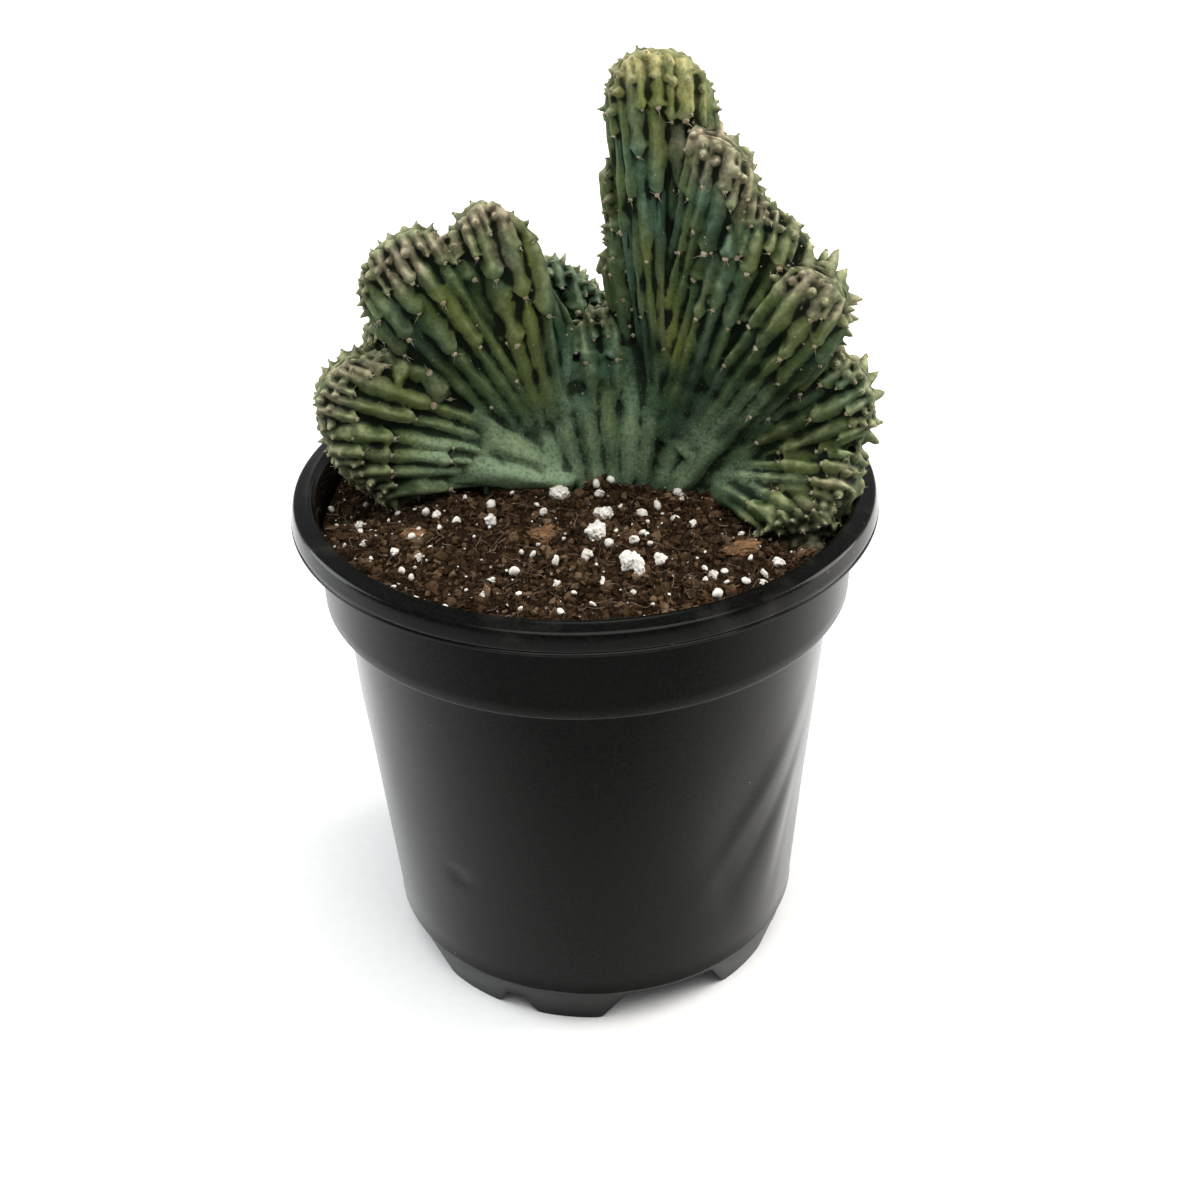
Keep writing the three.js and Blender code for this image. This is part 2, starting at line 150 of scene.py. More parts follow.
# Folds of the crest. Each is a thick curved sheet from a root line (middle and half length) to a crest
# line, bowed half way up. Ribs run up both of its faces as chains of finger-like tubercles. A rib of the
# front face is given by its place on the way round the fold (0 and 1 are the two side edges) and by how
# far up the fold each finger ends. Ribs of the back are spread evenly.
# widest is the greatest half width of the ribs, where they are narrower than usual. teeth is given where
# the teeth at the back of the crest line differ: the least and most they stand out, and their half width.
FOLDS = {
    "lowest left": {
        "root": (-10, 11, 143), "spread": (2, -1, -10), "bow": (0, 2, 2), "thick": (11, 9),
        "crest": [(-42, 7, 167), (-58, 3, 175), (-67, 0, 167), (-65, -4, 151), (-53, -8, 139)],
        "ribs": [
            (0.09, 0.62), (0.21, 0.86), (0.33, 0.50, 0.76), (0.42, 0.46, 0.71), (0.50, 0.61),
            (0.60, 0.57), (0.73, 0.34, 0.73), (0.90, 0.66),
        ],
    },
    "dark left": {
        "root": (-18, 18, 150), "spread": (-6, 0, -8), "bow": (0, 4, 3), "thick": (9, 6),
        "crest": [(-38, 19, 184), (-48, 20, 184), (-55, 18, 177), (-55, 15, 165)],
        "ribs": [
            (0.20, 0.60), (0.45, 0.50, 0.80), (0.72, 0.62),
        ],
    },
    "upper left": {
        "root": (-14, 13, 147), "spread": (-8, 0, -8), "bow": (1, -3, 1), "thick": (11, 8),
        "crest": [(-29, 9, 201), (-39, 7, 207), (-50, 6, 202), (-54, 7, 193), (-51, 8, 184)],
        "ribs": [
            (0.14, 0.60), (0.29, 0.45, 0.72), (0.42, 0.71), (0.52, 0.54, 0.74), (0.61, 0.50, 0.72),
            (0.69, 0.30, 0.86), (0.79, 0.48, 0.80), (0.92, 0.60),
        ],
    },
    "upper left inner": {
        "root": (-6, 14, 146), "spread": (-12, 0, -2), "bow": (0, -3, 0),
        "thick": (11, 8),
        "crest": [(-20, 16, 193), (-18.5, 14, 204), (-23, 11, 212), (-30, 9, 207), (-34, 9, 198)],
        "ribs": [
            (0.13, 0.60), (0.27, 0.66, 0.91), (0.42, 0.50, 0.76), (0.52, 0.66), (0.62, 0.60),
            (0.74, 0.79), (0.88, 0.64),
        ],
    },
    "centre back": {
        "root": (3, 21, 140), "spread": (-12, 1, 0), "bow": (0, 3, 0), "thick": (10, 7),
        "crest": [(13, 30, 169), (8, 31, 177), (1, 31, 184), (-6, 29, 190), (-13, 26, 190)],
        "ribs": [
            (0.20, 0.80), (0.40, 0.76), (0.60, 0.84), (0.80, 0.82),
        ],
    },
    "low centre": {
        "root": (8, 14, 138), "spread": (-13, 0, 0), "bow": (0, -2, 0), "thick": (12, 7),
        "crest": [(20, 18, 174), (10, 17, 181), (1, 15, 179), (-5, 14, 170)],
        "ribs": [
            (0.15, 0.80), (0.38, 0.78), (0.55, 0.74), (0.70, 0.68), (0.86, 0.82),
        ],
    },
    "tall": {
        "root": (23, 13, 147), "spread": (-6, 0, 1), "bow": (-1, -2, 0), "thick": (12, 9),
        "crest": [(34, 12, 231), (30.5, 12, 243), (21.5, 11, 247.5), (12.5, 10, 246.5), (8.5, 9, 239)],
        "ribs": [
            (0.07, 0.62, 0.88), (0.20, 0.38, 0.70), (0.34, 0.52, 0.78), (0.45, 0.29, 0.68, 0.88),
            (0.56, 0.55, 0.70, 0.86), (0.70, 0.60, 0.80), (0.86, 0.66),
        ],
    },
    "tall left edge": {
        "root": (21, 16, 153), "spread": (-2, 0, 5), "bow": (-1, 1, 0), "thick": (7, 5),
        "widest": 2.6, "teeth": (1.4, 2.8, 1.3),
        "crest": [(13, 15, 187), (8.5, 15, 198), (9, 14, 210), (9.5, 13, 221)],
        "ribs": [
            (0.08, 0.60), (0.18, 0.74), (0.28, 0.58), (0.38, 0.72), (0.48, 0.54),
            (0.58, 0.70), (0.68, 0.58), (0.78, 0.74), (0.89, 0.62),
        ],
    },
    "tall shoulder": {
        "root": (24, 11, 158), "spread": (-10, 1, 1), "bow": (2, 1, 0), "thick": (11, 10),
        "crest": [(43, 4, 208), (43.5, 1, 219), (37, -1, 229), (28, 0, 232)],
        "ribs": [
            (0.09, 0.80), (0.19, 0.61, 0.80), (0.29, 0.71, 0.86), (0.39, 0.66, 0.88),
            (0.51, 0.72, 0.91), (0.65, 0.60), (0.84, 0.70),
        ],
    },
    "right upper": {
        "root": (27, 8, 150), "spread": (-10, 0, 3), "bow": (0, -4, 2), "thick": (10, 9),
        "crest": [(54, 3, 200), (53.5, 0, 208), (45, -1, 214), (38, -1, 213), (32, 0, 206)],
        "ribs": [
            (0.12, 0.78), (0.25, 0.59, 0.88), (0.36, 0.62, 0.83), (0.48, 0.55, 0.77), (0.60, 0.83),
            (0.74, 0.60), (0.90, 0.68),
        ],
    },
    "right star": {
        "teeth": (2.2, 4.8, 1.8),
        "root": (30, 6, 147), "spread": (-8, 0, 6), "bow": (2, 0, 3), "thick": (11, 10),
        "crest": [(64, -8, 184), (65, -11, 193), (58, -11, 200.5), (49, -7, 201)],
        "ribs": [
            (0.10, 0.67), (0.24, 0.46, 0.68), (0.36, 0.62), (0.46, 0.65, 0.86),
            (0.56, 0.35, 0.55, 0.80), (0.68, 0.77), (0.84, 0.60),
        ],
    },
    "right lower": {
        "teeth": (2.2, 4.8, 1.8),
        "root": (31, 6, 141), "spread": (-4, 0, 7), "bow": (0, -3, 0), "thick": (10, 8),
        "crest": [(67, -9, 148), (73, -8, 157), (72, -6, 170), (63, -4, 178)],
        "ribs": [
            (0.10, 0.65), (0.26, 0.51, 0.82), (0.40, 0.40, 0.69), (0.52, 0.50, 0.88),
            (0.62, 0.39, 0.72), (0.76, 0.60, 0.84), (0.90, 0.62),
        ],
    },
    "lowest right": {
        "root": (34, 4, 139), "spread": (1, 2, 8), "bow": (0, -3, 0), "thick": (9, 9),
        "crest": [(59, -25, 137), (68, -20, 143), (70, -13, 152)],
        "ribs": [
            (0.14, 0.52, 0.80), (0.30, 0.53, 0.80), (0.46, 0.44, 0.76), (0.62, 0.61, 0.84),
            (0.80, 0.52, 0.80),
        ],
    },
    "short front": {
        "root": (37, -2, 137), "spread": (5, 3, 3), "bow": (0, -1, 1), "thick": (7, 7),
        "crest": [(44, -24, 135), (54, -29, 137), (63, -26, 138.5)],
        "ribs": [
            (0.22, 0.55), (0.45, 0.62, 0.86), (0.66, 0.62), (0.86, 0.80),
        ],
    },
}
EDGE_FULLNESS = 0.75  # below 1 makes the side edges of a fold blunter than an ellipse's
CAP_START = 0.72  # share of a fold's length where it starts to round over to its crest
SKIN_SUNK = 2.0  # the fold between its ribs lies this much lower
FOLD_COLUMNS = 96
FOLD_ROWS = 36
FINGER = SimpleNamespace(
    pitch=7.2,  # spacing of the ribs of a back face, along the crest
    widest=4.2,  # greatest half width
    narrowest=1.2,
    stoutest=0.30,  # greatest half width over the length of the finger
    fill=0.56,  # half width over the spacing of the ribs
    keel=0.46,  # how far a section is pulled in towards its top
    rings=17,
    sides=14,
    step=0.05,  # how far a finger starts above the tip that it comes out under
    freeing=0.70,  # share of its length from which it stands free of the fold
    closing=0.87,  # share of its length from which its tip rounds off
)
YOUNG = SimpleNamespace(
    spacing=3.6,
    room=5.2,  # a narrow finger fits between ribs that are this far apart at the crest line
    widest=2.2,
    front=(0.8, 1.9, 1.35),  # knobs of the crest line: how far they stand out, and their half width
    back=(0.8, 2.2, 1.4),
    front_rows=(0.955, 0.99),
    back_rows=(0.94, 0.99),
    lower_row=0.97,  # rows below this share of the fold's length have longer knobs
    lower=0.9,  # how much longer
    sunk=2.2,  # how deep a knob starts in the fold
    rings=8,
    sides=9,
)
# Old ribs that have fused in front of the stem: foot, top and half width.
STEM_RIDGES = [
    ((-3, 0.5, 131), (-15, 3.5, 164), 3.8), ((0.5, 0.5, 131), (-8, 4.5, 168), 3.0),
    ((4, 0.3, 131), (-1, 5.5, 170), 3.0), ((8, 0.5, 131), (6.5, 6, 172), 2.9),
    ((11, 0.3, 131), (13.5, 6, 174), 3.0), ((14.5, 0.3, 131), (21, 4, 170), 3.2),
    ((18, 0.5, 131), (29, 1, 165), 4.0), ((20.5, -1.5, 132), (44, -8, 166), 4.2),
    ((25, -1, 131), (49, -11, 157), 3.5), ((29, -2, 131), (46, -13, 146), 3.6),
    ((-3, 0, 139), (-36, -4.5, 148), 5.2), ((-8, 1, 131), (-26, -2, 138), 3.6),
    ((-6, 1, 142), (-30, -3, 157), 4.4),
]
# Small dried pup by the rim: middle, half sizes.
PUP = [
    ((56.2, -30.4, 134.6), (1.8, 1.5, 1.9)),
    ((57.8, -31.2, 135.4), (1.2, 1.1, 1.5)),
    ((54.9, -31.6, 134.0), (1.2, 1.1, 1.3)),
    ((56.6, -28.6, 135.8), (1.3, 1.4, 1.5)),
]
CREST_VOXEL = 0.43
CREST_TRIANGLES = 190000
ROOT_SMOOTHING = 16
SKIN_UNEVENNESS = [(5.5, 0.5), (1.9, 0.16)]
# Where the skin has a colour of its own, and where shade is painted into the clefts: the two ends of a
# stretch, its reach and its strength.
PATCHES = {
    "cream": [((12, 6, 246), (29, 7, 246), 4.4, 0.9), ((26, 3, 240), (30, 4, 236), 3.0, 0.45)],
    "yellow": [
        ((12, 3, 240), (28, 3, 239), 6.0, 0.9), ((14, 2, 231), (22, 0, 228), 5.0, 0.55),
        ((17.5, -1, 201), (19.5, -1, 192), 3.0, 0.6), ((19.5, -1, 192), (23, -2, 177), 4.0, 1.0),
        ((26, -6, 184), (25, -5, 174), 2.4, 0.7), ((-16, 0, 194), (-10, 1, 182), 5.5, 0.75),
        ((-13, 0, 178), (-8, 1, 165), 8.0, 0.6), ((-33, -3, 191), (-27, -3, 180), 4.0, 0.7),
        ((-54, -7, 166), (-44, -6, 160), 3.5, 0.6), ((-48, -8, 153), (-36, -5, 149), 4.5, 0.6),
        ((-46, -5, 170), (-30, -4, 158), 4.0, 0.45), ((5, 3, 165), (6, 2, 155), 2.6, 0.5),
        ((47, -15, 190), (53, -16, 187), 3.0, 0.3), ((48, -20, 149), (60, -22, 149), 5.0, 0.4),
        ((-13, 7, 205), (-13, 5, 196), 3.0, 0.6),
    ],
    "slate": [
        ((-4, 6, 186), (-2, 3, 160), 6.0, 0.8), ((6, 6, 176), (7, 5, 170), 6.0, 0.8),
        ((13, 4, 172), (14, 2, 158), 4.5, 0.7), ((14, 0, 224), (21, -1, 208), 5.5, 0.75),
        ((30, -8, 219), (34, -9, 207), 5.5, 0.8), ((36, -11, 198), (38, -11, 186), 5.0, 0.6),
        ((10, 5, 204), (13, 4, 180), 5.0, 0.7), ((-17, 1, 201), (-18, 1, 194), 3.0, 0.7),
        ((-45, 0, 187), (-38, 0, 180), 6.0, 0.6), ((60, -15, 178), (66, -12, 170), 6.0, 0.5),
        ((-13, 24, 188), (12, 27, 174), 9.0, 0.75),
    ],
    # painted shade: dark patches where the clefts between the folds lie in shadow
    "painted_shade": [
        ((32, -8, 209), (29, -9, 200), 4.0, 0.85), ((47, -13, 188), (38, -12, 178), 3.5, 0.75),
        ((60, -13, 179), (44, -12, 163), 5.5, 0.95), ((48, -14, 166), (37, -10, 156), 5.0, 0.85),
        ((-42, -3, 181), (-34, -3, 174), 5.5, 0.85), ((-52, 0, 179), (-44, 0, 178), 4.0, 0.8),
        ((41, -14, 172), (38, -12, 160), 6.0, 0.75), ((48, -13, 170), (42, -11, 157), 5.0, 0.6),
        ((27, -7, 174), (26, -6, 163), 4.5, 0.7), ((29, -8, 212), (27, -6, 198), 3.0, 0.7),
        ((60, -12, 160), (46, -12, 155), 4.0, 0.6), ((-60, -9, 149), (-45, -7, 143), 5.0, 0.6),
        ((30, -7, 170), (44, -15, 182), 3.0, 0.6), ((52, -29, 143), (66, -22, 141), 8.0, 0.5),
        ((18, 2, 176), (15, 3, 168), 4.0, 0.7), ((-25, 1, 196), (-22, 0, 184), 3.0, 0.5),
        ((-9, 2, 178), (-4, 3, 166), 2.6, 0.6),
    ],
    "pale": [
        ((-36, -7, 149), (-8, -2, 142), 9.0, 1.0), ((-10, -1, 152), (-4, 0, 142), 6.0, 0.7),
        ((4, 1, 160), (4, 0, 142), 4.0, 0.45), ((14, 1, 168), (12, -1, 142), 5.0, 0.6),
        ((21, -3, 143), (44, -11, 166), 5.0, 0.6), ((-24, -4, 158), (-12, -2, 150), 5.0, 0.45),
        ((-3, 3, 172), (-3, 2, 155), 3.5, 0.4), ((42, -14, 147), (26, -6, 141), 5.0, 0.5),
    ],
    "dry": [((54, -31, 134), (58, -30, 136), 5.0, 1.0)],
    "brown": [
        ((-28, 5, 210), (-16, 7, 210), 5.5, 1.0), ((-47, 0, 200), (-40, 0, 205), 5.0, 0.95),
        ((-40, 0, 205), (-29, 3, 205), 4.5, 0.9), ((-45, -2, 197), (-40, -1, 200), 4.0, 0.8),
        ((-20, 2, 204), (-17, 3, 198), 2.6, 0.7), ((26, -1, 230), (36, -1, 230), 5.0, 1.0),
        ((34, -6, 226), (38, -5, 220), 5.5, 0.9), ((26, -5, 224), (30, -6, 222), 3.0, 0.7),
        ((38, -5, 215), (47, -6, 213), 4.0, 0.85), ((51, -14, 199), (60, -15, 199), 4.5, 0.9),
        ((54, -18, 194), (62, -15, 192), 4.0, 0.7), ((-62, -1, 174), (-52, -3, 175), 4.5, 0.85),
        ((-66, -4, 160), (-62, -5, 170), 5.0, 0.7), ((60, -23, 150), (66, -20, 149), 4.5, 0.6),
        ((55, -26, 144), (61, -24, 143), 4.0, 0.4),
    ],
    "scar": [
        ((-23, -1, 179.6), (-22.6, -1, 178), 1.2, 1.0), ((-21.2, -1, 175.6), (-20.8, -1, 174), 1.2, 1.0),
        ((-15, 0, 188), (-15, 0, 184.5), 0.9, 0.8), ((-13, 0, 179), (-12.6, 0, 176), 0.8, 0.7),
        ((-9, 2, 186), (-8, 2, 183), 0.8, 0.6), ((54, -19, 192), (53.6, -19, 191), 0.9, 0.9),
        ((48, -17, 184.4), (47.6, -17, 183.6), 1.0, 1.0), ((64, -15, 157), (63.6, -15, 156.6), 0.8, 0.8),
    ],
}

SPINES = SimpleNamespace(count=4, spread=1.2, length=1.6, thickness=0.12)
FELT_SIZE = 1.5
FELT_HEIGHT = 0.7  # over its width
AREOLE_SPACING = 2.1
AREOLE_REACH = 1.6  # an areole further than this from the finished skin is left out

CAMERA = SimpleNamespace(
    lens=53.0,
    sensor=36,
    nearest=0.01,
    right=(0.99963, -0.01441, -0.02315),
    up=(0.02727, 0.52821, 0.84867),
    place=(3.265, -408.378, 356.677),
)
FLOOR_REACH = 4000  # half width of the floor
SUN = SimpleNamespace(strength=2.75, angle=56, colour=(1.0, 0.99, 0.96), towards=(0.10, -0.22, 1.0))
ROOM = SimpleNamespace(strength=0.30, colour=(0.95, 0.98, 1.0, 1))
# Soft boxes beside the pot: place and size in metres, power and colour.
BOXES = {
    "left_box": ((-1.15, 0.35, 0.55), (0.6, 0.9), 13.0, (0.92, 0.97, 1.0)),
    "right_box": ((1.15, 0.2, 0.55), (0.6, 0.9), 16.0, (1.0, 0.96, 0.91)),
}
BOX_TARGET = (0, 0, 0.12)


# ---------------------------------------------------------------- mesh helpers


def unit(vectors):
    return vectors / np.maximum(np.linalg.norm(vectors, axis=-1, keepdims=True), 1e-9)


def bell(distance, spread):
    return np.exp(-((distance / spread) ** 2) / 2)


def lerp(a, b, share):
    return a + (b - a) * share


def ramp(value, low, high):
    """0 up to low, 1 from high, and smooth between them."""
    share = np.clip((value - low) / (high - low), 0, 1)
    return share * share * (3 - 2 * share)


def add_object(name, points, faces):
    """A mesh object from millimetre points, with its place in the mesh."""
    mesh = bpy.data.meshes.new(name)
    mesh.from_pydata((np.asarray(points, float) * MM).tolist(), [], [list(map(int, f)) for f in faces])
    mesh.update()
    piece = bpy.data.objects.new(name, mesh)
    bpy.context.scene.collection.objects.link(piece)
    return piece


def dress(piece, material, sharp_angle=None):
    """Shades a finished piece smooth and gives it its one material."""
    mesh = piece.data
    mesh.polygons.foreach_set("use_smooth", np.ones(len(mesh.polygons), bool))
    if sharp_angle is not None:
        mesh.set_sharp_from_angle(angle=math.radians(sharp_angle))
    mesh.materials.clear()
    mesh.materials.append(material)
    mesh.update()
    return piece


def face_outwards(piece):
    shape = bmesh.new()
    shape.from_mesh(piece.data)
    bmesh.ops.recalc_face_normals(shape, faces=shape.faces)
    shape.to_mesh(piece.data)
    shape.free()


def read(items, field, width=3, kind=np.float32):
    """One field of a mesh's points or edges, as the rows of an array."""
    values = np.empty(width * len(items), kind)
    items.foreach_get(field, values)
    return values.reshape(-1, width)


def points_of(mesh):
    return read(mesh.vertices, "co") / MM


def normals_of(mesh):
    return read(mesh.vertex_normals, "vector")


def edges_of(mesh):
    return read(mesh.edges, "vertices", 2, np.int32)


def set_points(mesh, points):
    mesh.vertices.foreach_set("co", (points * MM).astype(np.float32).ravel())
    mesh.update()


def set_value(mesh, name, values):
    """Stores a number or a vector at each point of a mesh."""
    values = np.asarray(values, np.float32)
    kind, field = ("FLOAT_VECTOR", "vector") if values.ndim == 2 else ("FLOAT", "value")
    mesh.attributes.new(name, kind, "POINT").data.foreach_set(field, values.ravel())


def get_value(mesh, name):
    return read(mesh.attributes[name].data, "value", 1)[:, 0]


def modify(piece, kind, **settings):
    """Adds a modifier with these settings."""
    modifier = piece.modifiers.new(kind.lower(), kind)
    for name, value in settings.items():
        setattr(modifier, name, value)


def uneven(points, layers, seed=0.0):
    """Heights of a rough surface at the points, from layers of (size across, height)."""
    total = np.zeros(len(points))
    for layer, (size, height) in enumerate(layers):
        shift = Vector((seed + 7.3 * layer, 3.1 * layer, 1.7 * seed))
        total += height * np.array([noise.noise(Vector(point) / size + shift) for point in points])
    return total


def apply_modifiers(piece):
    """Replaces a piece's mesh by its evaluated one and clears its modifiers."""
    bpy.context.view_layer.update()
    evaluated = piece.evaluated_get(bpy.context.evaluated_depsgraph_get())
    mesh = bpy.data.meshes.new_from_object(evaluated)
    piece.modifiers.clear()
    old = piece.data
    piece.data = mesh
    bpy.data.meshes.remove(old)
    mesh.name = piece.name


def keep_largest_part(piece):
    """Deletes every loose part of a mesh but the largest."""
    mesh = piece.data
    edges = edges_of(mesh)
    label = np.arange(len(mesh.vertices))
    while True:
        low = np.minimum(label[edges[:, 0]], label[edges[:, 1]])
        new = label.copy()
        np.minimum.at(new, edges[:, 0], low)
        np.minimum.at(new, edges[:, 1], low)
        new = new[new]
        if np.array_equal(new, label):
            break
        label = new
    names, counts = np.unique(label, return_counts=True)
    stray = np.flatnonzero(label != names[counts.argmax()])
    if len(stray):
        shape = bmesh.new()
        shape.from_mesh(mesh)
        shape.verts.ensure_lookup_table()
        bmesh.ops.delete(shape, geom=[shape.verts[i] for i in stray], context="VERTS")
        shape.to_mesh(mesh)
        shape.free()


def hollows(piece, rounds):
    """How deep each point lies under the surface smoothed over its neighbours, in millimetres."""
    mesh = piece.data
    edges = edges_of(mesh)
    count = len(mesh.vertices)
    points = points_of(mesh)
    neighbours = np.bincount(edges.ravel(), minlength=count)
    smooth = points.copy()
    for _ in range(rounds):
        for axis in range(3):
            near = np.bincount(edges[:, 0], smooth[edges[:, 1], axis], count)
            near += np.bincount(edges[:, 1], smooth[edges[:, 0], axis], count)
            smooth[:, axis] = near / np.maximum(neighbours, 1)
    return ((smooth - points) * normals_of(mesh)).sum(1)


class Parts:
    """Closed shapes collected for one mesh, with named values at their points."""

    def __init__(self, *values):
        self.points, self.faces, self.count = [], [], 0
        self.values = {name: [] for name in values}

    def add(self, points, faces, **values):
        self.points.append(points)
        self.faces.extend((np.asarray(faces) + self.count).tolist())
        self.count += len(points)
        for name, stored in self.values.items():
            stored.append(np.broadcast_to(np.asarray(values.get(name, 0.0), float), len(points)))

    def make(self, name):
        piece = add_object(name, np.concatenate(self.points), self.faces)
        for key, stored in self.values.items():
            set_value(piece.data, key, np.concatenate(stored))
        return piece


def tube_faces(rings, sides):
    """Triangles of a tube of rings with a point at each end, the first and last point of the list."""
    faces = []
    last = 1 + rings * sides
    for side in range(sides):
        after = (side + 1) % sides
        faces.append((0, 1 + after, 1 + side))
        for ring in range(rings - 1):
            a, b = 1 + ring * sides + side, 1 + ring * sides + after
            faces.append((a, b, b + sides))
            faces.append((a, b + sides, a + sides))
        base = 1 + (rings - 1) * sides
        faces.append((base + side, base + after, last))
    return np.array(faces)


# ---------------------------------------------------------------- node helpers


def titled(names):
    """Socket names such as Fine Share from words such as fine_share."""
    return {name.replace("_", " ").title(): value for name, value in names.items()}


class Nodes:
    """Adds nodes to a tree: an input given as a socket is linked, and one given as a value is set."""

    def __init__(self, tree):
        self.tree = tree

    def give(self, socket, value):
        if isinstance(value, bpy.types.NodeSocket):
            self.tree.links.new(value, socket)
        else:
            socket.default_value = value

    def add(self, kind, inputs=None, **settings):
        node = self.tree.nodes.new(kind)
        for name, value in settings.items():
            setattr(node, name, value)
        for name, value in (inputs or {}).items():
            self.give(node.inputs[name], value)
        return node

    def out(self, kind, inputs=None, output=0, **settings):
        """One output of a new node."""
        return self.add(kind, inputs, **settings).outputs[output]

    def math(self, operation, a, b=0.0):
        return self.out("ShaderNodeMath", {0: a, 1: b}, operation=operation)

    def plus(self, a, b):
        return self.math("ADD", a, b)

    def times(self, a, *factors):
        """The product of all that is given, from left to right."""
        for factor in factors:
            a = self.math("MULTIPLY", a, factor)
        return a

    def vector_math(self, operation, a, b):
        return self.out("ShaderNodeVectorMath", {0: a, 1: b}, operation=operation)

    def scale(self, vector, factor):
        return self.out("ShaderNodeVectorMath", {0: vector, "Scale": factor}, operation="SCALE")

    def height(self, place):
        return self.out("ShaderNodeSeparateXYZ", {0: place}, 2)

    def map(self, value, low, high, to_low=0.0, to_high=1.0, smooth=False):
        kind = "SMOOTHSTEP" if smooth else "LINEAR"
        inputs = {"Value": value, "From Min": low, "From Max": high, "To Min": to_low, "To Max": to_high}
        return self.out("ShaderNodeMapRange", inputs, interpolation_type=kind)

    def mix(self, share, a, b, blend="MIX"):
        """Mixes two colours, given as sockets or as (r, g, b)."""
        a, b = (colour if isinstance(colour, bpy.types.NodeSocket) else (*colour, 1) for colour in (a, b))
        return self.out("ShaderNodeMix", {0: share, 6: a, 7: b}, 2, data_type="RGBA", blend_type=blend)

    def group(self, tree, **inputs):
        return self.out("ShaderNodeGroup", titled(inputs), node_tree=tree)


def new_group(name, kind, passed, output, inputs):
    """An empty node group that is passed one socket and has named number inputs and one output.

    Returns its nodes, what it is given and the socket of its result."""
    tree = bpy.data.node_groups.new(name, kind)
    new_socket = tree.interface.new_socket
    new_socket(passed, in_out="INPUT", socket_type="NodeSocket" + passed)
    for label, value in titled(inputs).items():
        number = "NodeSocketInt" if isinstance(value, int) else "NodeSocketFloat"
        new_socket(label, in_out="INPUT", socket_type=number).default_value = value
    result = "NodeSocketGeometry" if passed == "Geometry" else "NodeSocketFloat"
    new_socket(output, in_out="OUTPUT", socket_type=result)
    nodes = Nodes(tree)
    return nodes, nodes.add("NodeGroupInput").outputs, nodes.add("NodeGroupOutput").inputs[0]


def shader_group(name, output, **inputs):
    return new_group(name, "ShaderNodeTree", "Vector", output, inputs)


# ---------------------------------------------------------------- shared shader groups


def mottle_group():
    """Cloudy unevenness from 0 to 1: fractal noise between two of its levels."""
    nodes, given, result = shader_group("mottle", "Mask", scale=100.0, detail=3.0, low=0.4, high=0.6)
    cloud = nodes.out("ShaderNodeTexNoise", {name: given[name] for name in ("Vector", "Scale", "Detail")})
    nodes.give(result, nodes.map(cloud, given["Low"], given["High"], smooth=True))
    return nodes.tree


def fleck_group():
    """Scattered round flecks: Share is how many cells hold one, Size its radius in a cell."""
    nodes, given, result = shader_group("flecks", "Mask", scale=500.0, size=0.3, share=0.3)
    cells = nodes.add("ShaderNodeTexVoronoi", {"Vector": given["Vector"], "Scale": given["Scale"]})
    drawn = nodes.add("ShaderNodeSeparateColor", {0: cells.outputs["Color"]}).outputs
    radius = nodes.times(given["Size"], nodes.map(drawn[1], 0, 1, 0.5, 1.0))
    dot = nodes.map(cells.outputs["Distance"], nodes.times(radius, 0.6), radius, 1.0, 0.0)
    nodes.give(result, nodes.times(dot, nodes.math("LESS_THAN", drawn[0], given["Share"])))
    return nodes.tree


def grain_group():
    """Height of a grainy surface: coarse and fine noise in the given shares."""
    nodes, given, result = shader_group(
        "grain", "Height", coarse_scale=300.0, fine_scale=1500.0, fine_share=0.4)
    coarse, fine = (
        nodes.out("ShaderNodeTexNoise", {"Vector": given["Vector"], "Scale": scale, "Detail": detail})
        for scale, detail in ((given["Coarse Scale"], 3.0), (given["Fine Scale"], 2.0)))
    nodes.give(result, nodes.out("ShaderNodeMix", {0: given["Fine Share"], 2: coarse, 3: fine}))
    return nodes.tree


def level_line_group():
    """A thin level line at a height, broken up by noise: a rubbed edge with a painted highlight along it.
    """
    nodes, given, result = shader_group("level line", "Mask", height=0.1, width=0.0004)
    away = nodes.math("ABSOLUTE", nodes.math("SUBTRACT", nodes.height(given["Vector"]), given["Height"]))
    band = nodes.map(nodes.math("DIVIDE", away, given["Width"]), 0.4, 1.0, 1.0, 0.0)
    wear_and_highlight = nodes.out("ShaderNodeTexNoise", {"Vector": given["Vector"], "Scale": 90.0, "Detail": 4.0})
    nodes.give(result, nodes.times(band, nodes.map(wear_and_highlight, 0.38, 0.6)))
    return nodes.tree


MOTTLE = mottle_group()
FLECKS = fleck_group()
GRAIN = grain_group()
LEVEL_LINE = level_line_group()


# ---------------------------------------------------------------- materials


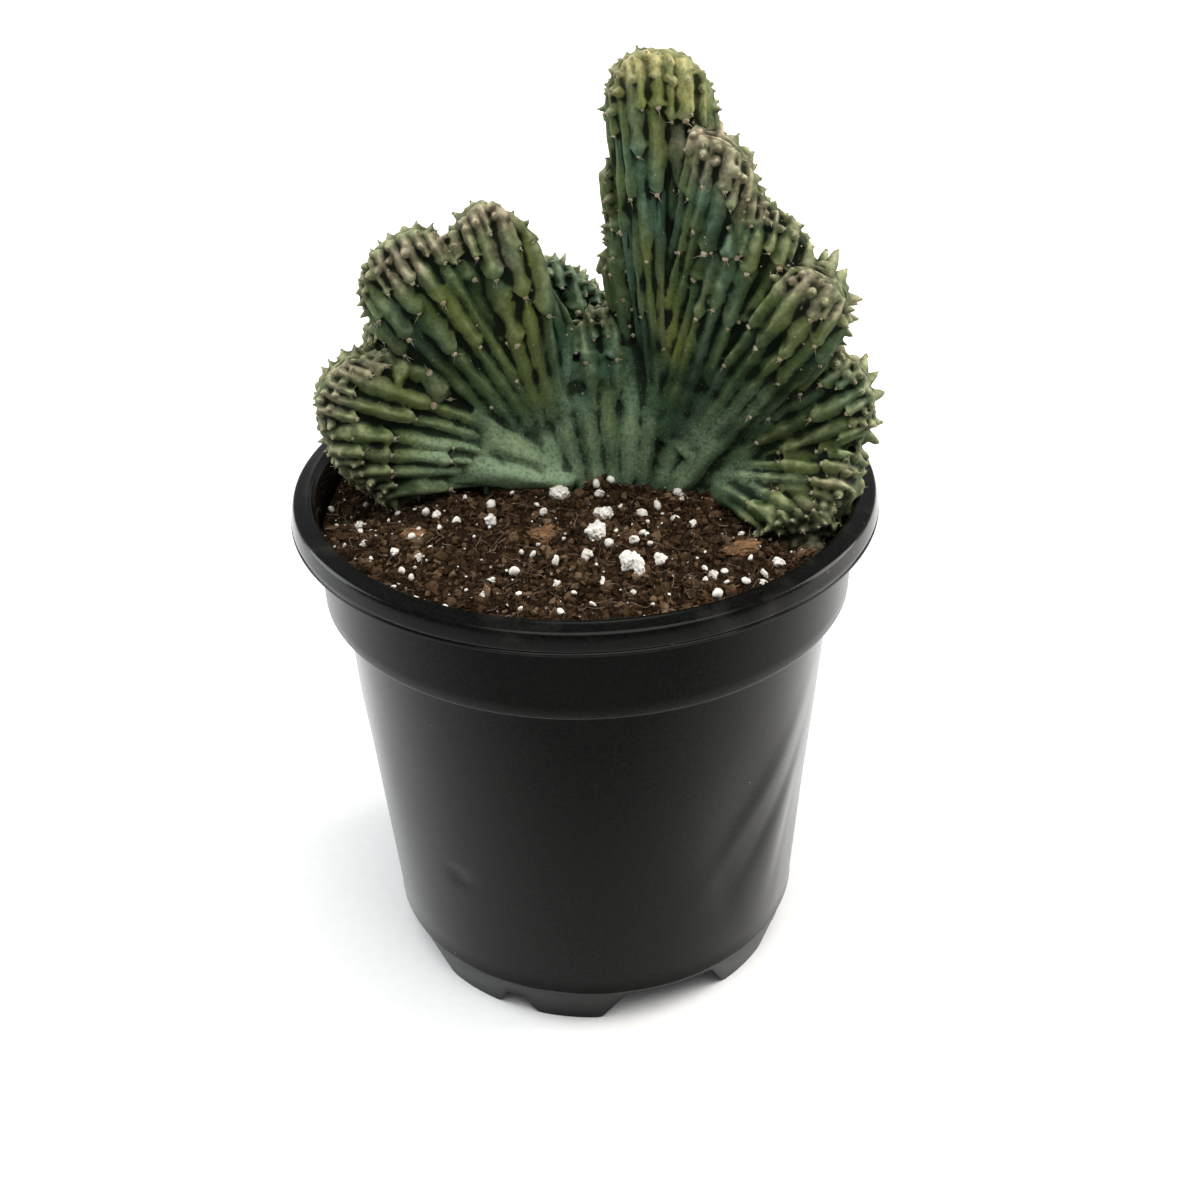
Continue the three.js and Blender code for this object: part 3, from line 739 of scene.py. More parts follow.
class Finish(Nodes):
    """A material in the making: colours laid over each other, by masks over places on the piece."""

    def __init__(self, name, roughness, specular):
        self.material = bpy.data.materials.new(name)
        self.material.use_nodes = True
        super().__init__(self.material.node_tree)
        self.shader = self.tree.nodes["Principled BSDF"].inputs
        self.shader["Roughness"].default_value = roughness
        self.shader["Specular IOR Level"].default_value = specular
        self.place = self.out("ShaderNodeTexCoord", output="Object")
        self.colour = None

    def attribute(self, name):
        return self.out("ShaderNodeAttribute", output="Fac", attribute_name=name)

    def mottle(self, scale, low, high, detail=3.0):
        return self.group(MOTTLE, vector=self.place, scale=scale, detail=detail, low=low, high=high)

    def flecks(self, scale, size, share, place=None):
        place = self.place if place is None else place
        return self.group(FLECKS, vector=place, scale=scale, size=size, share=share)

    def grain(self, coarse, fine, share=0.5):
        return self.group(GRAIN, vector=self.place, coarse_scale=coarse, fine_scale=fine, fine_share=share)

    def threads(self, scale, distortion, detail, detail_scale, **settings):
        """Wavy bands over the piece, from 0 to 1."""
        inputs = {"Vector": self.place, "Scale": scale, "Distortion": distortion, "Detail": detail,
                  "Detail Scale": detail_scale}
        return self.out("ShaderNodeTexWave", inputs, 1, **settings)

    def paint(self, share, colour, blend="MIX"):
        """Lays a colour over what is there, as strongly as the share says."""
        self.colour = self.mix(share, self.colour, colour, blend)

    def finish(self, relief, distance, strength=1.0):
        """Gives the shader its colour and its relief, so many millimetres high."""
        self.give(self.shader["Base Color"], self.colour)
        inputs = {"Height": relief, "Distance": distance * MM, "Strength": strength}
        self.give(self.shader["Normal"], self.out("ShaderNodeBump", inputs))
        return self.material


def paint_growth(skin):
    """Colours of old and young growth: blue-green, olive finger ends, slate, brown and cream."""
    age, tint = skin.attribute("age"), skin.attribute("tint")
    skin.colour = skin.mix(skin.cloud, (0.036, 0.067, 0.026), (0.060, 0.086, 0.027))
    skin.root = skin.map(age, 0.10, 0.55, 1.0, 0.0)
    skin.paint(skin.times(skin.root, 0.6), (0.044, 0.100, 0.058))
    end = skin.map(skin.attribute("tip"), 0.25, 0.85, smooth=True)
    skin.paint(skin.times(end, skin.map(tint, 0.2, 0.9, 0.1, 0.7)), (0.122, 0.138, 0.048))
    skin.paint(skin.times(skin.yellow, 0.85), (0.168, 0.188, 0.046))
    skin.paint(skin.times(skin.map(tint, 0.75, 1.0), 0.6), (0.040, 0.066, 0.050))
    slate = skin.mix(skin.fine_cloud, (0.032, 0.080, 0.058), (0.060, 0.118, 0.086))
    skin.paint(skin.times(skin.slate, 0.9), slate)
    young = skin.times(skin.map(age, 0.86, 1.0, smooth=True), skin.map(skin.cloud, 0, 1, 0.15, 0.65))
    skin.brown = skin.math("MAXIMUM", skin.times(young, 0.8), skin.attribute("brown"))
    mauve = skin.mix(skin.fine_cloud, (0.105, 0.086, 0.060), (0.270, 0.225, 0.150))
    skin.paint(skin.times(skin.brown, 0.85), mauve)
    skin.paint(skin.cream, skin.mix(skin.fine_cloud, (0.30, 0.31, 0.12), (0.58, 0.52, 0.24)))


def paint_bloom_highlight_and_groove_shade(skin):
    """Pale waxy bloom, lightened as a painted highlight where it stands out and is turned upwards, and
    painted shade in the grooves.
    """
    hollow, depth = skin.attribute("hollow"), skin.attribute("depth")
    skin.ridge = skin.math("MAXIMUM", skin.map(hollow, -0.04, -0.42), skin.map(depth, -0.4, -1.6))
    # painted highlight: the bloom is stronger where the skin is turned upwards, towards the light
    upward_highlight = skin.map(skin.attribute("upward"), 0.0, 0.85, 0.18, 1.0)
    bloom = skin.times(skin.ridge, upward_highlight, skin.map(skin.fine_cloud, 0, 1, 0.30, 0.90))
    bloom = skin.times(bloom, skin.map(skin.yellow, 0, 1, 1.0, 0.35), skin.map(skin.brown, 0, 1, 1.0, 1.3))
    waxy = skin.mix(skin.brown, (0.385, 0.435, 0.220), (0.600, 0.520, 0.360))
    waxy = skin.mix(skin.slate, waxy, (0.240, 0.385, 0.270))
    skin.paint(bloom, skin.mix(skin.cream, waxy, (0.62, 0.56, 0.28)))
    # painted shade: creases and the deep folds between the ribs darkened nearly to black
    creases = skin.map(hollow, 0.0, 0.34, smooth=True)
    folds = skin.map(depth, 0.30, 1.15, 0.0, 0.95, smooth=True)
    skin.groove = skin.times(skin.math("MAXIMUM", creases, folds), skin.map(skin.cream, 0, 1, 1.0, 0.45))
    skin.paint(skin.times(skin.groove, 0.96), (0.003, 0.006, 0.003))


def paint_wear(skin, freckles, dust):
    """Dry and corky skin, the pale fused base, painted shade in the clefts, dust and scars."""
    dry = skin.mix(skin.fine_cloud, (0.022, 0.020, 0.015), (0.085, 0.078, 0.060))
    skin.paint(skin.attribute("dry"), dry)
    pale = skin.times(skin.attribute("pale"), skin.map(skin.groove, 0, 1, 1, 0.2))
    skin.paint(skin.times(pale, 0.9), skin.mix(freckles, (0.34, 0.46, 0.28), (0.18, 0.28, 0.15)))
    share = skin.plus(skin.times(pale, 0.75), skin.times(skin.root, 0.14))
    skin.paint(skin.times(skin.flecks(1200.0, 0.45, 0.6), share), (0.33, 0.42, 0.34))
    # painted shade: the clefts darkened nearly to black, a little less on the ridges
    painted_shade = skin.times(skin.attribute("painted_shade"), skin.map(skin.ridge, 0, 1, 0.95, 0.62))
    skin.paint(painted_shade, (0.008, 0.014, 0.007))
    skin.paint(skin.times(dust, 0.55), (0.42, 0.40, 0.31))
    scar = skin.map(skin.attribute("scar"), 0.25, 0.7, smooth=True)
    skin.paint(scar, skin.mix(skin.fine_cloud, (0.42, 0.22, 0.11), (0.72, 0.58, 0.42)))


def cactus_skin():
    """Waxy blue-green skin: painted shade in the grooves and clefts, pale bloom with a painted highlight,
    olive finger ends, brown young growth, scars.
    """
    skin = Finish("cactus_skin", 0.6, 0.05)
    skin.cloud = skin.mottle(70.0, 0.35, 0.65, 4.0)
    skin.fine_cloud = skin.mottle(420.0, 0.35, 0.68, 4.0)
    skin.yellow, skin.slate, skin.cream = (skin.attribute(name) for name in ("yellow", "slate", "cream"))
    paint_growth(skin)
    freckles = skin.mottle(1150.0, 0.42, 0.68, 5.0)
    skin.paint(skin.times(freckles, 0.5), (0.42, 0.42, 0.36), "MULTIPLY")
    paint_bloom_highlight_and_groove_shade(skin)
    dust = skin.flecks(430.0, 0.16, 0.22)
    paint_wear(skin, freckles, dust)
    rough = skin.plus(skin.map(skin.ridge, 0, 1, 0.62, 0.5), skin.map(skin.fine_cloud, 0, 1, -0.06, 0.08))
    skin.give(skin.shader["Roughness"], rough)
    relief = skin.plus(skin.grain(520.0, 2200.0, 0.45), skin.times(dust, 0.5))
    return skin.finish(relief, 0.35, 0.8)


def areole_felt():
    """Short pale wool of the areoles, browner on the old ones."""
    felt = Finish("areole_felt", 0.95, 0.15)
    felt.colour = felt.mix(felt.mottle(900.0, 0.35, 0.65), (0.24, 0.20, 0.125), (0.52, 0.47, 0.33))
    felt.paint(felt.map(felt.attribute("young"), 0, 1, 0.0, 0.45), (0.28, 0.20, 0.13))
    return felt.finish(felt.grain(2500.0, 6000.0), 0.3)


def spine_horn():
    """Horn-like spines, straw-coloured with a grey-brown mottle."""
    horn = Finish("spine_horn", 0.5, 0.4)
    horn.colour = horn.mix(horn.mottle(350.0, 0.35, 0.65), (0.20, 0.15, 0.10), (0.48, 0.44, 0.33))
    return horn.finish(horn.grain(3000.0, 8000.0), 0.05)


def paint_plastic(plastic, cloud):
    """Black with specks, lint and rubbed edges lightened partly as a painted highlight. Returns the specks.
    """
    fine = plastic.mottle(1100.0, 0.35, 0.65, 2.0)
    plastic.colour = plastic.mix(fine, (0.0004, 0.0004, 0.0003), (0.0034, 0.0036, 0.0030))
    plastic.paint(plastic.times(cloud, 0.5), (0.0036, 0.0037, 0.0030))
    specks = plastic.flecks(110.0, 0.075, 0.28)
    plastic.paint(plastic.times(specks, 0.9), (0.001, 0.001, 0.001))
    plastic.paint(plastic.flecks(150.0, 0.045, 0.14), (0.16, 0.155, 0.14))
    # rubbed edges at the ledge and the foot, lightened partly as a painted highlight
    ledge, foot = (
        plastic.group(LEVEL_LINE, vector=plastic.place, height=height * MM, width=width)
        for height, width in ((POT.ledge + 0.05, 0.00055), (POT.skirt_top, 0.00035)))
    plastic.paint(plastic.times(plastic.math("MAXIMUM", ledge, foot), 0.8), (0.05, 0.05, 0.047))
    return specks


def pot_plastic():
    """Thin black recycled plastic: satin wall with specks and fine swirls, glossier rim, rubbed edges with
    a painted highlight.
    """
    plastic = Finish("pot_plastic", 0.32, 0.05)
    cloud = plastic.mottle(26.0, 0.3, 0.7, 5.0)
    specks = paint_plastic(plastic, cloud)
    height = plastic.height(plastic.place)
    rim = plastic.map(height, 0.1335, 0.1350, smooth=True)
    flattened = plastic.vector_math("MULTIPLY", plastic.place, (1.0, 1.0, 3.0))
    scuffs = plastic.times(plastic.flecks(260.0, 0.16, 0.10, flattened), rim)
    plastic.paint(plastic.times(scuffs, 0.6), (0.22, 0.215, 0.20))
    dusty = plastic.mottle(60.0, 0.55, 0.75, 6.0)
    plastic.paint(plastic.times(dusty, rim, 0.25), (0.06, 0.055, 0.05))

    facing = plastic.out("ShaderNodeLayerWeight", {"Blend": 0.5}, "Facing")
    neck = plastic.map(height, 0.1125, 0.1140, smooth=True)
    skirt = plastic.map(height, 0.0118, 0.0128, 1.0, 0.0)
    gloss = plastic.times(plastic.map(facing, 0.25, 0.80, 0.0, 0.75), plastic.map(neck, 0, 1, 1.0, 0.55))
    gloss = plastic.times(gloss, plastic.map(skirt, 0, 1, 1.0, 0.30))
    plastic.give(plastic.shader["Coat Weight"], plastic.plus(gloss, plastic.map(rim, 0, 1, 0.0, 0.16)))
    plastic.shader["Coat Roughness"].default_value = 0.22
    rough = plastic.plus(plastic.map(rim, 0, 1, 0.36, 0.16), plastic.map(cloud, 0, 1, -0.04, 0.05))
    rough = plastic.plus(rough, plastic.times(plastic.plus(specks, scuffs), 0.2))
    plastic.give(plastic.shader["Roughness"], rough)

    swirls = plastic.threads(210.0, 9.0, 2.0, 0.4, wave_type="RINGS", rings_direction="Y")
    relief = plastic.plus(plastic.times(plastic.grain(700.0, 2600.0), 0.7), plastic.times(swirls, 0.12))
    relief = plastic.math("SUBTRACT", relief, plastic.times(specks, 0.6))
    return plastic.finish(relief, 0.05, 0.6)


def potting_mix():
    """Dark fibrous peat: painted shade on the plug between the crumbs, brown crumbs, each crumb with its
    own tone.
    """
    mix = Finish("potting_mix", 0.95, 0.04)
    shade = mix.attribute("tint")
    mix.colour = mix.mix(mix.mottle(800.0, 0.36, 0.64, 5.0), (0.004, 0.002, 0.001), (0.084, 0.047, 0.024))
    # painted shade: the plug's own surface, seen in the gaps between the crumbs, is made nearly black
    mix.paint(mix.map(shade, 0.0, 0.02, 0.75, 0.0), (0.005, 0.003, 0.0015))
    mix.paint(mix.map(shade, 0.25, 1.0, 0.0, 0.85), (0.165, 0.096, 0.050))
    mix.paint(mix.times(mix.map(shade, 0.80, 0.90), 0.7), (0.27, 0.18, 0.105))
    mix.paint(mix.times(mix.mottle(60.0, 0.4, 0.6), 0.45), (0.016, 0.009, 0.005))
    thread = mix.map(mix.threads(330.0, 26.0, 4.0, 1.6), 0.82, 1.0)
    mix.paint(mix.times(thread, 0.45), (0.20, 0.127, 0.070))
    mix.paint(mix.flecks(600.0, 0.3, 0.055), (0.55, 0.50, 0.44))
    return mix.finish(mix.plus(mix.grain(900.0, 2800.0), mix.times(thread, 0.4)), 0.8)


def root_fibre():
    """Fine dry roots and peat fibres, from brown to straw."""
    fibre = Finish("root_fibre", 0.85, 0.2)
    shade = fibre.map(fibre.attribute("tint"), 0.3, 1.0)
    fibre.colour = fibre.mix(shade, (0.075, 0.045, 0.028), (0.30, 0.215, 0.145))
    fibre.paint(fibre.times(fibre.mottle(500.0, 0.35, 0.65), 0.4), (0.05, 0.03, 0.02))
    return fibre.finish(fibre.grain(3000.0, 7000.0), 0.06)


def perlite_foam():
    """Puffed white glass: chalky, with pores, a little soil in its hollows."""
    foam = Finish("perlite_foam", 0.9, 0.25)
    foam.colour = foam.mix(foam.mottle(700.0, 0.35, 0.65, 4.0), (0.72, 0.67, 0.59), (0.93, 0.90, 0.84))
    foam.paint(foam.times(foam.mottle(330.0, 0.58, 0.72, 5.0), 0.55), (0.33, 0.26, 0.19))
    pores = foam.flecks(1100.0, 0.34, 0.3)
    foam.paint(foam.times(pores, 0.4), (0.42, 0.38, 0.33))
    relief = foam.math("SUBTRACT", foam.grain(1100.0, 3200.0, 0.4), foam.times(pores, 0.5))
    return foam.finish(relief, 0.35)


def bark_wood(turn):
    """Weathered bark with fibres along the chip, which lies turned by so many degrees."""
    wood = Finish("bark_wood_%d" % (turn % 360), 0.85, 0.2)
    wood.place = wood.out("ShaderNodeMapping", {
        "Vector": wood.place, "Rotation": (0, 0, math.radians(-turn)), "Scale": (0.16, 1.0, 1.0)})
    fibres = wood.mottle(1500.0, 0.32, 0.68, 5.0)
    wood.colour = wood.mix(fibres, (0.055, 0.027, 0.012), (0.33, 0.185, 0.088))
    wood.paint(wood.times(wood.mottle(260.0, 0.35, 0.65), 0.5), (0.15, 0.082, 0.040))
    # painted shade in the chip's hollows
    dark = wood.map(wood.attribute("hollow"), 0.02, 0.35, smooth=True)
    wood.paint(wood.times(dark, 0.85), (0.02, 0.010, 0.005))
    return wood.finish(wood.grain(1200.0, 3500.0, 0.4), 0.5)


# ---------------------------------------------------------------- cactus: folds


class Plant(Parts):
    """The closed shapes of the plant, its areoles, and the random numbers that it grows by."""

    def __init__(self):
        super().__init__("age", "tint", "tip")
        self.random = np.random.default_rng(7)
        self.areoles = []

    def add_tube(self, points, first, middle, last, tint, tip=0.0):
        """Adds a tube of finger rings, with ages from its first point along its rings to its last."""
        age = np.concatenate([[first], np.repeat(middle, FINGER.sides), [last]])
        self.add(points, FINGER_FACES, age=age, tint=tint, tip=tip)

    def add_areole(self, place, width, age):
        """Adds an areole at a place given as a point and a direction."""
        self.areoles.append((*place, width, age))


def crest_line(points, samples=65):
    """Centripetal Catmull-Rom curve through the points, sampled evenly in its parameter."""
    before = 2 * np.array(points[0]) - points[1]
    beyond = 2 * np.array(points[-1]) - points[-2]
    knots = np.array([before, *points, beyond], float)
    line = []
    for place in np.linspace(0, len(points) - 1, samples):
        span = min(int(place), len(points) - 2)
        share = place - span
        p0, p1, p2, p3 = knots[span:span + 4]
        d0, d1, d2 = (math.sqrt(np.linalg.norm(b - a)) for a, b in ((p0, p1), (p1, p2), (p2, p3)))
        t1 = ((p1 - p0) / d0 - (p2 - p0) / (d0 + d1) + (p2 - p1) / d1) * d1
        t2 = ((p2 - p1) / d1 - (p3 - p1) / (d1 + d2) + (p3 - p2) / d2) * d1
        cubic = 2 * (p1 - p2) + t1 + t2
        square = 3 * (p2 - p1) - 2 * t1 - t2
        line.append(p1 + share * (t1 + share * (square + share * cubic)))
    return np.array(line)


def sheet(fold, across, up):
    """Points of a fold's middle sheet: across runs from -1 to 1 along the crest, up from 0 to 1."""
    across, up = np.broadcast_arrays(np.asarray(across, float), np.asarray(up, float))
    line = fold["line"]
    place = (across + 1) / 2 * (len(line) - 1)
    top = np.stack([np.interp(place, np.arange(len(line)), line[:, axis]) for axis in range(3)], -1)
    root = np.array(fold["root"], float) + np.array(fold["spread"], float) * across[..., None]
    middle = (root + top) / 2 + np.array(fold["bow"], float)
    up = up[..., None]
    return (1 - up) ** 2 * root + 2 * up * (1 - up) * middle + up ** 2 * top


def skin(fold, way, up):
    """Points of a fold's skin: way runs round it, 0 to 1 over the front and 1 to 2 over the back."""
    way, up = np.broadcast_arrays(np.asarray(way, float), np.asarray(up, float))
    across = np.cos(math.pi * way)
    step = 0.02
    along = sheet(fold, np.minimum(1, across + step), up) - sheet(fold, np.maximum(-1, across - step), up)
    rise = sheet(fold, across, np.minimum(1, up + step)) - sheet(fold, across, up - step)
    forward = -unit(np.cross(along, rise))
    beyond = np.maximum(0, (up - CAP_START) / (1 - CAP_START))
    half = lerp(*fold["thick"], up) * np.sqrt(np.maximum(0, 1 - beyond ** 2))
    bulge = np.sin(math.pi * way)
    side = np.sign(bulge) * np.abs(bulge) ** EDGE_FULLNESS
    return sheet(fold, across, up) + forward * (half * side)[..., None]


def skin_frame(fold, way, up):
    """Points of the skin with its outward normals and the directions towards the root."""
    here = skin(fold, way, up)
    step = 0.012
    round_it = skin(fold, way + step, up) - skin(fold, way - step, up)
    down = unit(skin(fold, way, up - step) - here)
    return here, unit(np.cross(down, round_it)), down


def apart(fold, way, up, other_way, other_up):
    """Straight distance between two places on a fold's skin."""
    return np.linalg.norm(skin(fold, way, up) - skin(fold, other_way, other_up), axis=-1)


def fold_body(fold, plant):
    """The sheet between the ribs, as a closed skin."""
    columns = FOLD_COLUMNS
    way = np.arange(columns) * 2 / columns
    ways, ups = np.meshgrid(way, np.linspace(0, 1, FOLD_ROWS))
    points, out, _ = skin_frame(fold, ways, np.minimum(ups, 0.998))
    sunk = SKIN_SUNK * np.sqrt(ups) * lerp(1.0, 0.15, ramp(ups, CAP_START, 1.0))
    points = (points - out * sunk[..., None]).reshape(-1, 3)
    faces = []
    for a in range(len(points) - columns):
        b = a - a % columns + (a + 1) % columns
        faces.append((a, b, b + columns))
        faces.append((a, b + columns, a + columns))
    root, crest = len(points), len(points) + 1
    top = root - columns
    for column in range(columns):
        after = (column + 1) % columns
        faces.append((root, after, column))
        faces.append((crest, top + column, top + after))
    points = np.vstack([points, sheet(fold, 0.0, 0.0), sheet(fold, 0.0, 1.0)])
    plant.add(points, np.array(faces), age=np.concatenate([ups.ravel(), [0, 1]]), tint=0.5, tip=0.0)


def keeled_tube(path, out, down, half, top, middle, bottom, tip_round):
    """Points of a ridge with a rounded keel along a path.

    half is its half width, and top, middle and bottom are the heights of its keel, its widest level and
    its lower side over the path. tip_round shrinks the last sections towards the widest level."""
    angle = np.arange(FINGER.sides) * TAU / FINGER.sides
    sine, cosine = np.sin(angle), np.cos(angle)
    across = unit(np.cross(out, down))
    side = cosine * (1 - FINGER.keel * np.maximum(sine, 0))
    reach = np.where(sine > 0, (top - middle)[:, None], (middle - bottom)[:, None]) * sine
    rise = middle[:, None] + reach * tip_round[:, None]
    spread = side[None, :] * (half * tip_round)[:, None]
    points = path[:, None, :] + across[:, None, :] * spread[:, :, None] + out[:, None, :] * rise[:, :, None]
    first = path[0] + out[0] * middle[0]
    last = path[-1] + out[-1] * middle[-1] + down[-1] * 0.25 * half[-1] * tip_round[-1]
    return np.vstack([first, points.reshape(-1, 3), last])


def finger(plant, fold, way, start, end, width, tint, heights, root_share=0.8, beak=0.42):
    """One tubercle: a keeled ridge that comes out of the fold and ends in a free, blunt beak.

    heights are those of its keel over the fold at both ends, as shares of its half width. root_share is
    how wide it starts, and beak how much it narrows to its tip. Returns its tip and where that points."""
    share = np.linspace(0.0, 1.0, FINGER.rings) ** 0.85
    up = lerp(start, end, share)
    base, out, down = skin_frame(fold, np.full(FINGER.rings, way), np.minimum(up, 0.995))
    free = ramp(share, FINGER.freeing, 1.0)
    top = width * lerp(*heights, share ** 1.3)
    middle = lerp(-0.50 * width, top[-1] - 0.34 * width, free)
    bottom = middle - width * lerp(1.3, 0.42, free)
    swell = lerp(root_share, 1.0, np.sin(np.minimum(share / 0.6, 1) * math.pi / 2))
    half = width * swell * (1 - beak * ramp(share, 0.5, 1.0))
    close = np.clip((share - FINGER.closing) / 0.13, 0, 1)
    tip_round = np.sqrt(1 - (0.93 * close) ** 2.4)
    points = keeled_tube(base, out, down, half, top, middle, bottom, tip_round)
    tip = np.concatenate([[0], np.repeat(share, FINGER.sides), [1]])
    plant.add_tube(points, start, up, end, tint, tip)
    return points[-1], unit(0.9 * out[-1] + down[-1])


def root_ridge(plant, fold, way, start, width, tint):
    """The lowest stretch of a rib, fading into the fold towards the root."""
    share = np.linspace(0.0, 1.0, FINGER.rings)
    end = 0.02
    up = lerp(start, end, share)
    base, out, down = skin_frame(fold, np.full(FINGER.rings, way), up)
    top = width * lerp(0.36, -0.10, share)
    middle = np.full(FINGER.rings, -0.60 * width)
    half = width * lerp(0.86, 1.05, share)
    points = keeled_tube(base, out, down, half, top, middle, middle - width, np.ones(FINGER.rings))
    plant.add_tube(points, start, up, end, tint)


def stem_ridge(plant, foot, head, width, tint):
    """A fused old rib that climbs the front of the stem and sinks into a fold."""
    share = np.linspace(0.0, 1.0, FINGER.rings)
    foot, head = np.array(foot, float), np.array(head, float)
    forward = np.array((0, -1.0, 0)) * (0.8 * np.sin(math.pi * share))[:, None]
    path = lerp(head, foot, share[:, None]) + forward
    down = unit(np.gradient(path, axis=0))
    out = unit(np.cross(down, np.cross((0.0, -1.0, 0.15), down)))
    top = width * (0.42 - 0.9 * ramp(share, 0.55, 0.0))
    half = width * lerp(1.08, 0.78, share)
    middle = np.full(FINGER.rings, -0.35 * width)
    points = keeled_tube(path, out, down, half, top, middle, middle - width, np.ones(FINGER.rings))
    head_age, foot_age = 0.30, 0.30 - 0.16
    plant.add_tube(points, head_age, head_age - 0.16 * share, foot_age, tint)


def young_finger(plant, fold, way, up, width, length, lean, tint):
    """A young tubercle of the crest line: a small pointed cone. lean is along the rib and across it."""
    base, out, down = (row[0] for row in skin_frame(fold, np.array([way]), np.array([min(up, 0.99)])))
    across = unit(np.cross(out, down))
    share = np.linspace(0, 1, YOUNG.rings)
    rise = -YOUNG.sunk + (length + YOUNG.sunk) * share
    bend = down * lean[0] + across * lean[1]
    path = base + out * rise[:, None] + bend * (length * share ** 1.6)[:, None]
    angle = np.arange(YOUNG.sides) * TAU / YOUNG.sides
    ring = across * np.cos(angle)[:, None] + down * (1.25 * -np.sin(angle))[:, None]
    swell = width * (1.08 - 0.62 * share) * np.sqrt(np.maximum(0.0, 1 - (0.9 * share) ** 7))
    points = path[:, None, :] + ring[None] * swell[:, None, None]
    points = np.vstack([path[0], points.reshape(-1, 3), path[-1] + out * 0.25 * width])
    tip = np.concatenate([[0], np.repeat(share, YOUNG.sides), [1]])
    plant.add(points, YOUNG_FACES, age=max(up, 0.9), tint=tint, tip=tip)
    return points[-1], unit(out + bend)


YOUNG_FACES = tube_faces(YOUNG.rings, YOUNG.sides)[:, ::-1]
FINGER_FACES = tube_faces(FINGER.rings, FINGER.sides)


def back_ribs(fold, random):
    """Evenly spread ribs of the back face, with finger ends drawn at random."""
    length = np.linalg.norm(np.diff(fold["line"], axis=0), axis=1).sum()
    count = max(4, round(length / FINGER.pitch))
    ribs = []
    for i in range(count):
        way = 1 + (i + 0.5 + random.uniform(-0.15, 0.15)) / count
        ends = []
        up = random.uniform(0.28, 0.5)
        while up < 0.86:
            ends.append(up)
            up += random.uniform(0.17, 0.27)
        ribs.append((way, *ends))
    return ribs


def grow_rib(plant, fold, way, ends, width_at):
    """The chain of fingers of one rib, and the smooth ridge between the lowest one and the root."""
    random = plant.random
    starts = [*[end + FINGER.step for end in ends[1:]], 0.99]
    for end, start in zip(ends, starts):
        run = float(apart(fold, way, start, way, end))
        width = min(width_at(end) * random.uniform(0.9, 1.08), FINGER.stoutest * run)
        wander = way + random.uniform(-0.012, 0.012)
        young = min(1.0, max(0.0, (end - 0.7) / 0.3))
        newest = start > 0.98
        heights = (0.30 if newest else -0.05, lerp(0.52, 0.72, young) * random.uniform(0.75, 1.25))
        tint = random.uniform()
        place = finger(plant, fold, wander, start, end, width, tint, heights,
                       root_share=0.6 if newest else 0.92, beak=random.uniform(0.26, 0.42))
        plant.add_areole(place, width, end)
    root_ridge(plant, fold, way, ends[0] + FINGER.step, width_at(0.5 * ends[0]), random.uniform())


def grow_gap(plant, fold, way, after, gap):
    """Narrow fingers in the gap between two ribs at the crest line."""
    random = plant.random
    count = round(gap / YOUNG.room) if gap > YOUNG.room else 0
    for i in range(count):
        end = random.uniform(0.82, 0.91)
        width = min(0.30 * gap, YOUNG.widest) * random.uniform(0.85, 1.1)
        between = (i + 0.5 + random.uniform(-0.08, 0.08)) / count
        tint = random.uniform()
        place = finger(plant, fold, lerp(way, after, between), 0.99, end, width, tint,
                       (0.5, random.uniform(0.8, 1.3)), root_share=0.75)
        plant.add_areole(place, width, 0.97)


def grow_knobs(plant, fold, way, after, gap):
    """Knobs of the front and teeth of the back, in rows on the crest line between two ribs."""
    random = plant.random
    front = way < 1
    least, most, half = YOUNG.front if front else fold.get("teeth", YOUNG.back)
    count = max(1, round(gap / (YOUNG.spacing * half / 1.35)))
    for row in YOUNG.front_rows if front else YOUNG.back_rows:
        longer = YOUNG.lower if row < YOUNG.lower_row else 0.0
        for i in range(count):
            width = half * random.uniform(0.8, 1.2)
            place = lerp(way, after, (i + random.uniform(0.2, 0.8)) / count)
            lean = (random.uniform(-0.1, 0.5), random.uniform(-0.35, 0.35))
            up = row + random.uniform(-0.015, 0.0)
            length = random.uniform(least, most) + longer
            spot = young_finger(plant, fold, place, up, width, length, lean, random.uniform())
            plant.add_areole(spot, width, 1.0)


def grow_ribs(plant, fold):
    """All ribs of a fold, front and back, and what grows between them at the crest line."""
    ribs = [*fold["ribs"], *back_ribs(fold, plant.random)]
    ways = [rib[0] for rib in ribs]
    widest = fold.get("widest", FINGER.widest)
    for i, (way, *ends) in enumerate(ribs):
        before = ways[i - 1] - (2 if i == 0 else 0)
        after = ways[(i + 1) % len(ways)] + (2 if i + 1 == len(ways) else 0)

        def width_at(up):
            gap = float(apart(fold, way, up, before, up) + apart(fold, way, up, after, up)) / 2
            return float(np.clip(FINGER.fill * gap, FINGER.narrowest, widest))

        grow_rib(plant, fold, way, ends, width_at)
        gap = float(apart(fold, way, 0.95, after, 0.95))
        grow_gap(plant, fold, way, after, gap)
        grow_knobs(plant, fold, way, after, gap)


def trunk_body(plant):
    """The stem that all folds grow from, fluted, with its foot in the mix."""
    halves, heights = np.array(TRUNK.profile[1:-1], float).T
    levels = np.linspace(heights[0], heights[-1], TRUNK.rows)
    radius = np.interp(levels, heights, halves)[:, None]
    angle = np.arange(TRUNK.columns) * TAU / TRUNK.columns
    flute = 1 + TRUNK.flute_depth * np.cos(TRUNK.flutes * angle + 1.5 * np.sin(3 * angle))
    x = TRUNK.centre[0] + radius * np.cos(angle) * flute
    y = TRUNK.centre[1] + radius * TRUNK.depth_ratio * np.sin(angle) * flute
    z = np.repeat(levels[:, None], TRUNK.columns, 1)
    foot, head = ((*TRUNK.centre, TRUNK.profile[end][1]) for end in (0, -1))
    points = np.vstack([foot, np.stack([x, y, z], -1).reshape(-1, 3), head])
    plant.add(points, tube_faces(TRUNK.rows, TRUNK.columns), age=0.02, tint=0.5, tip=0.0)


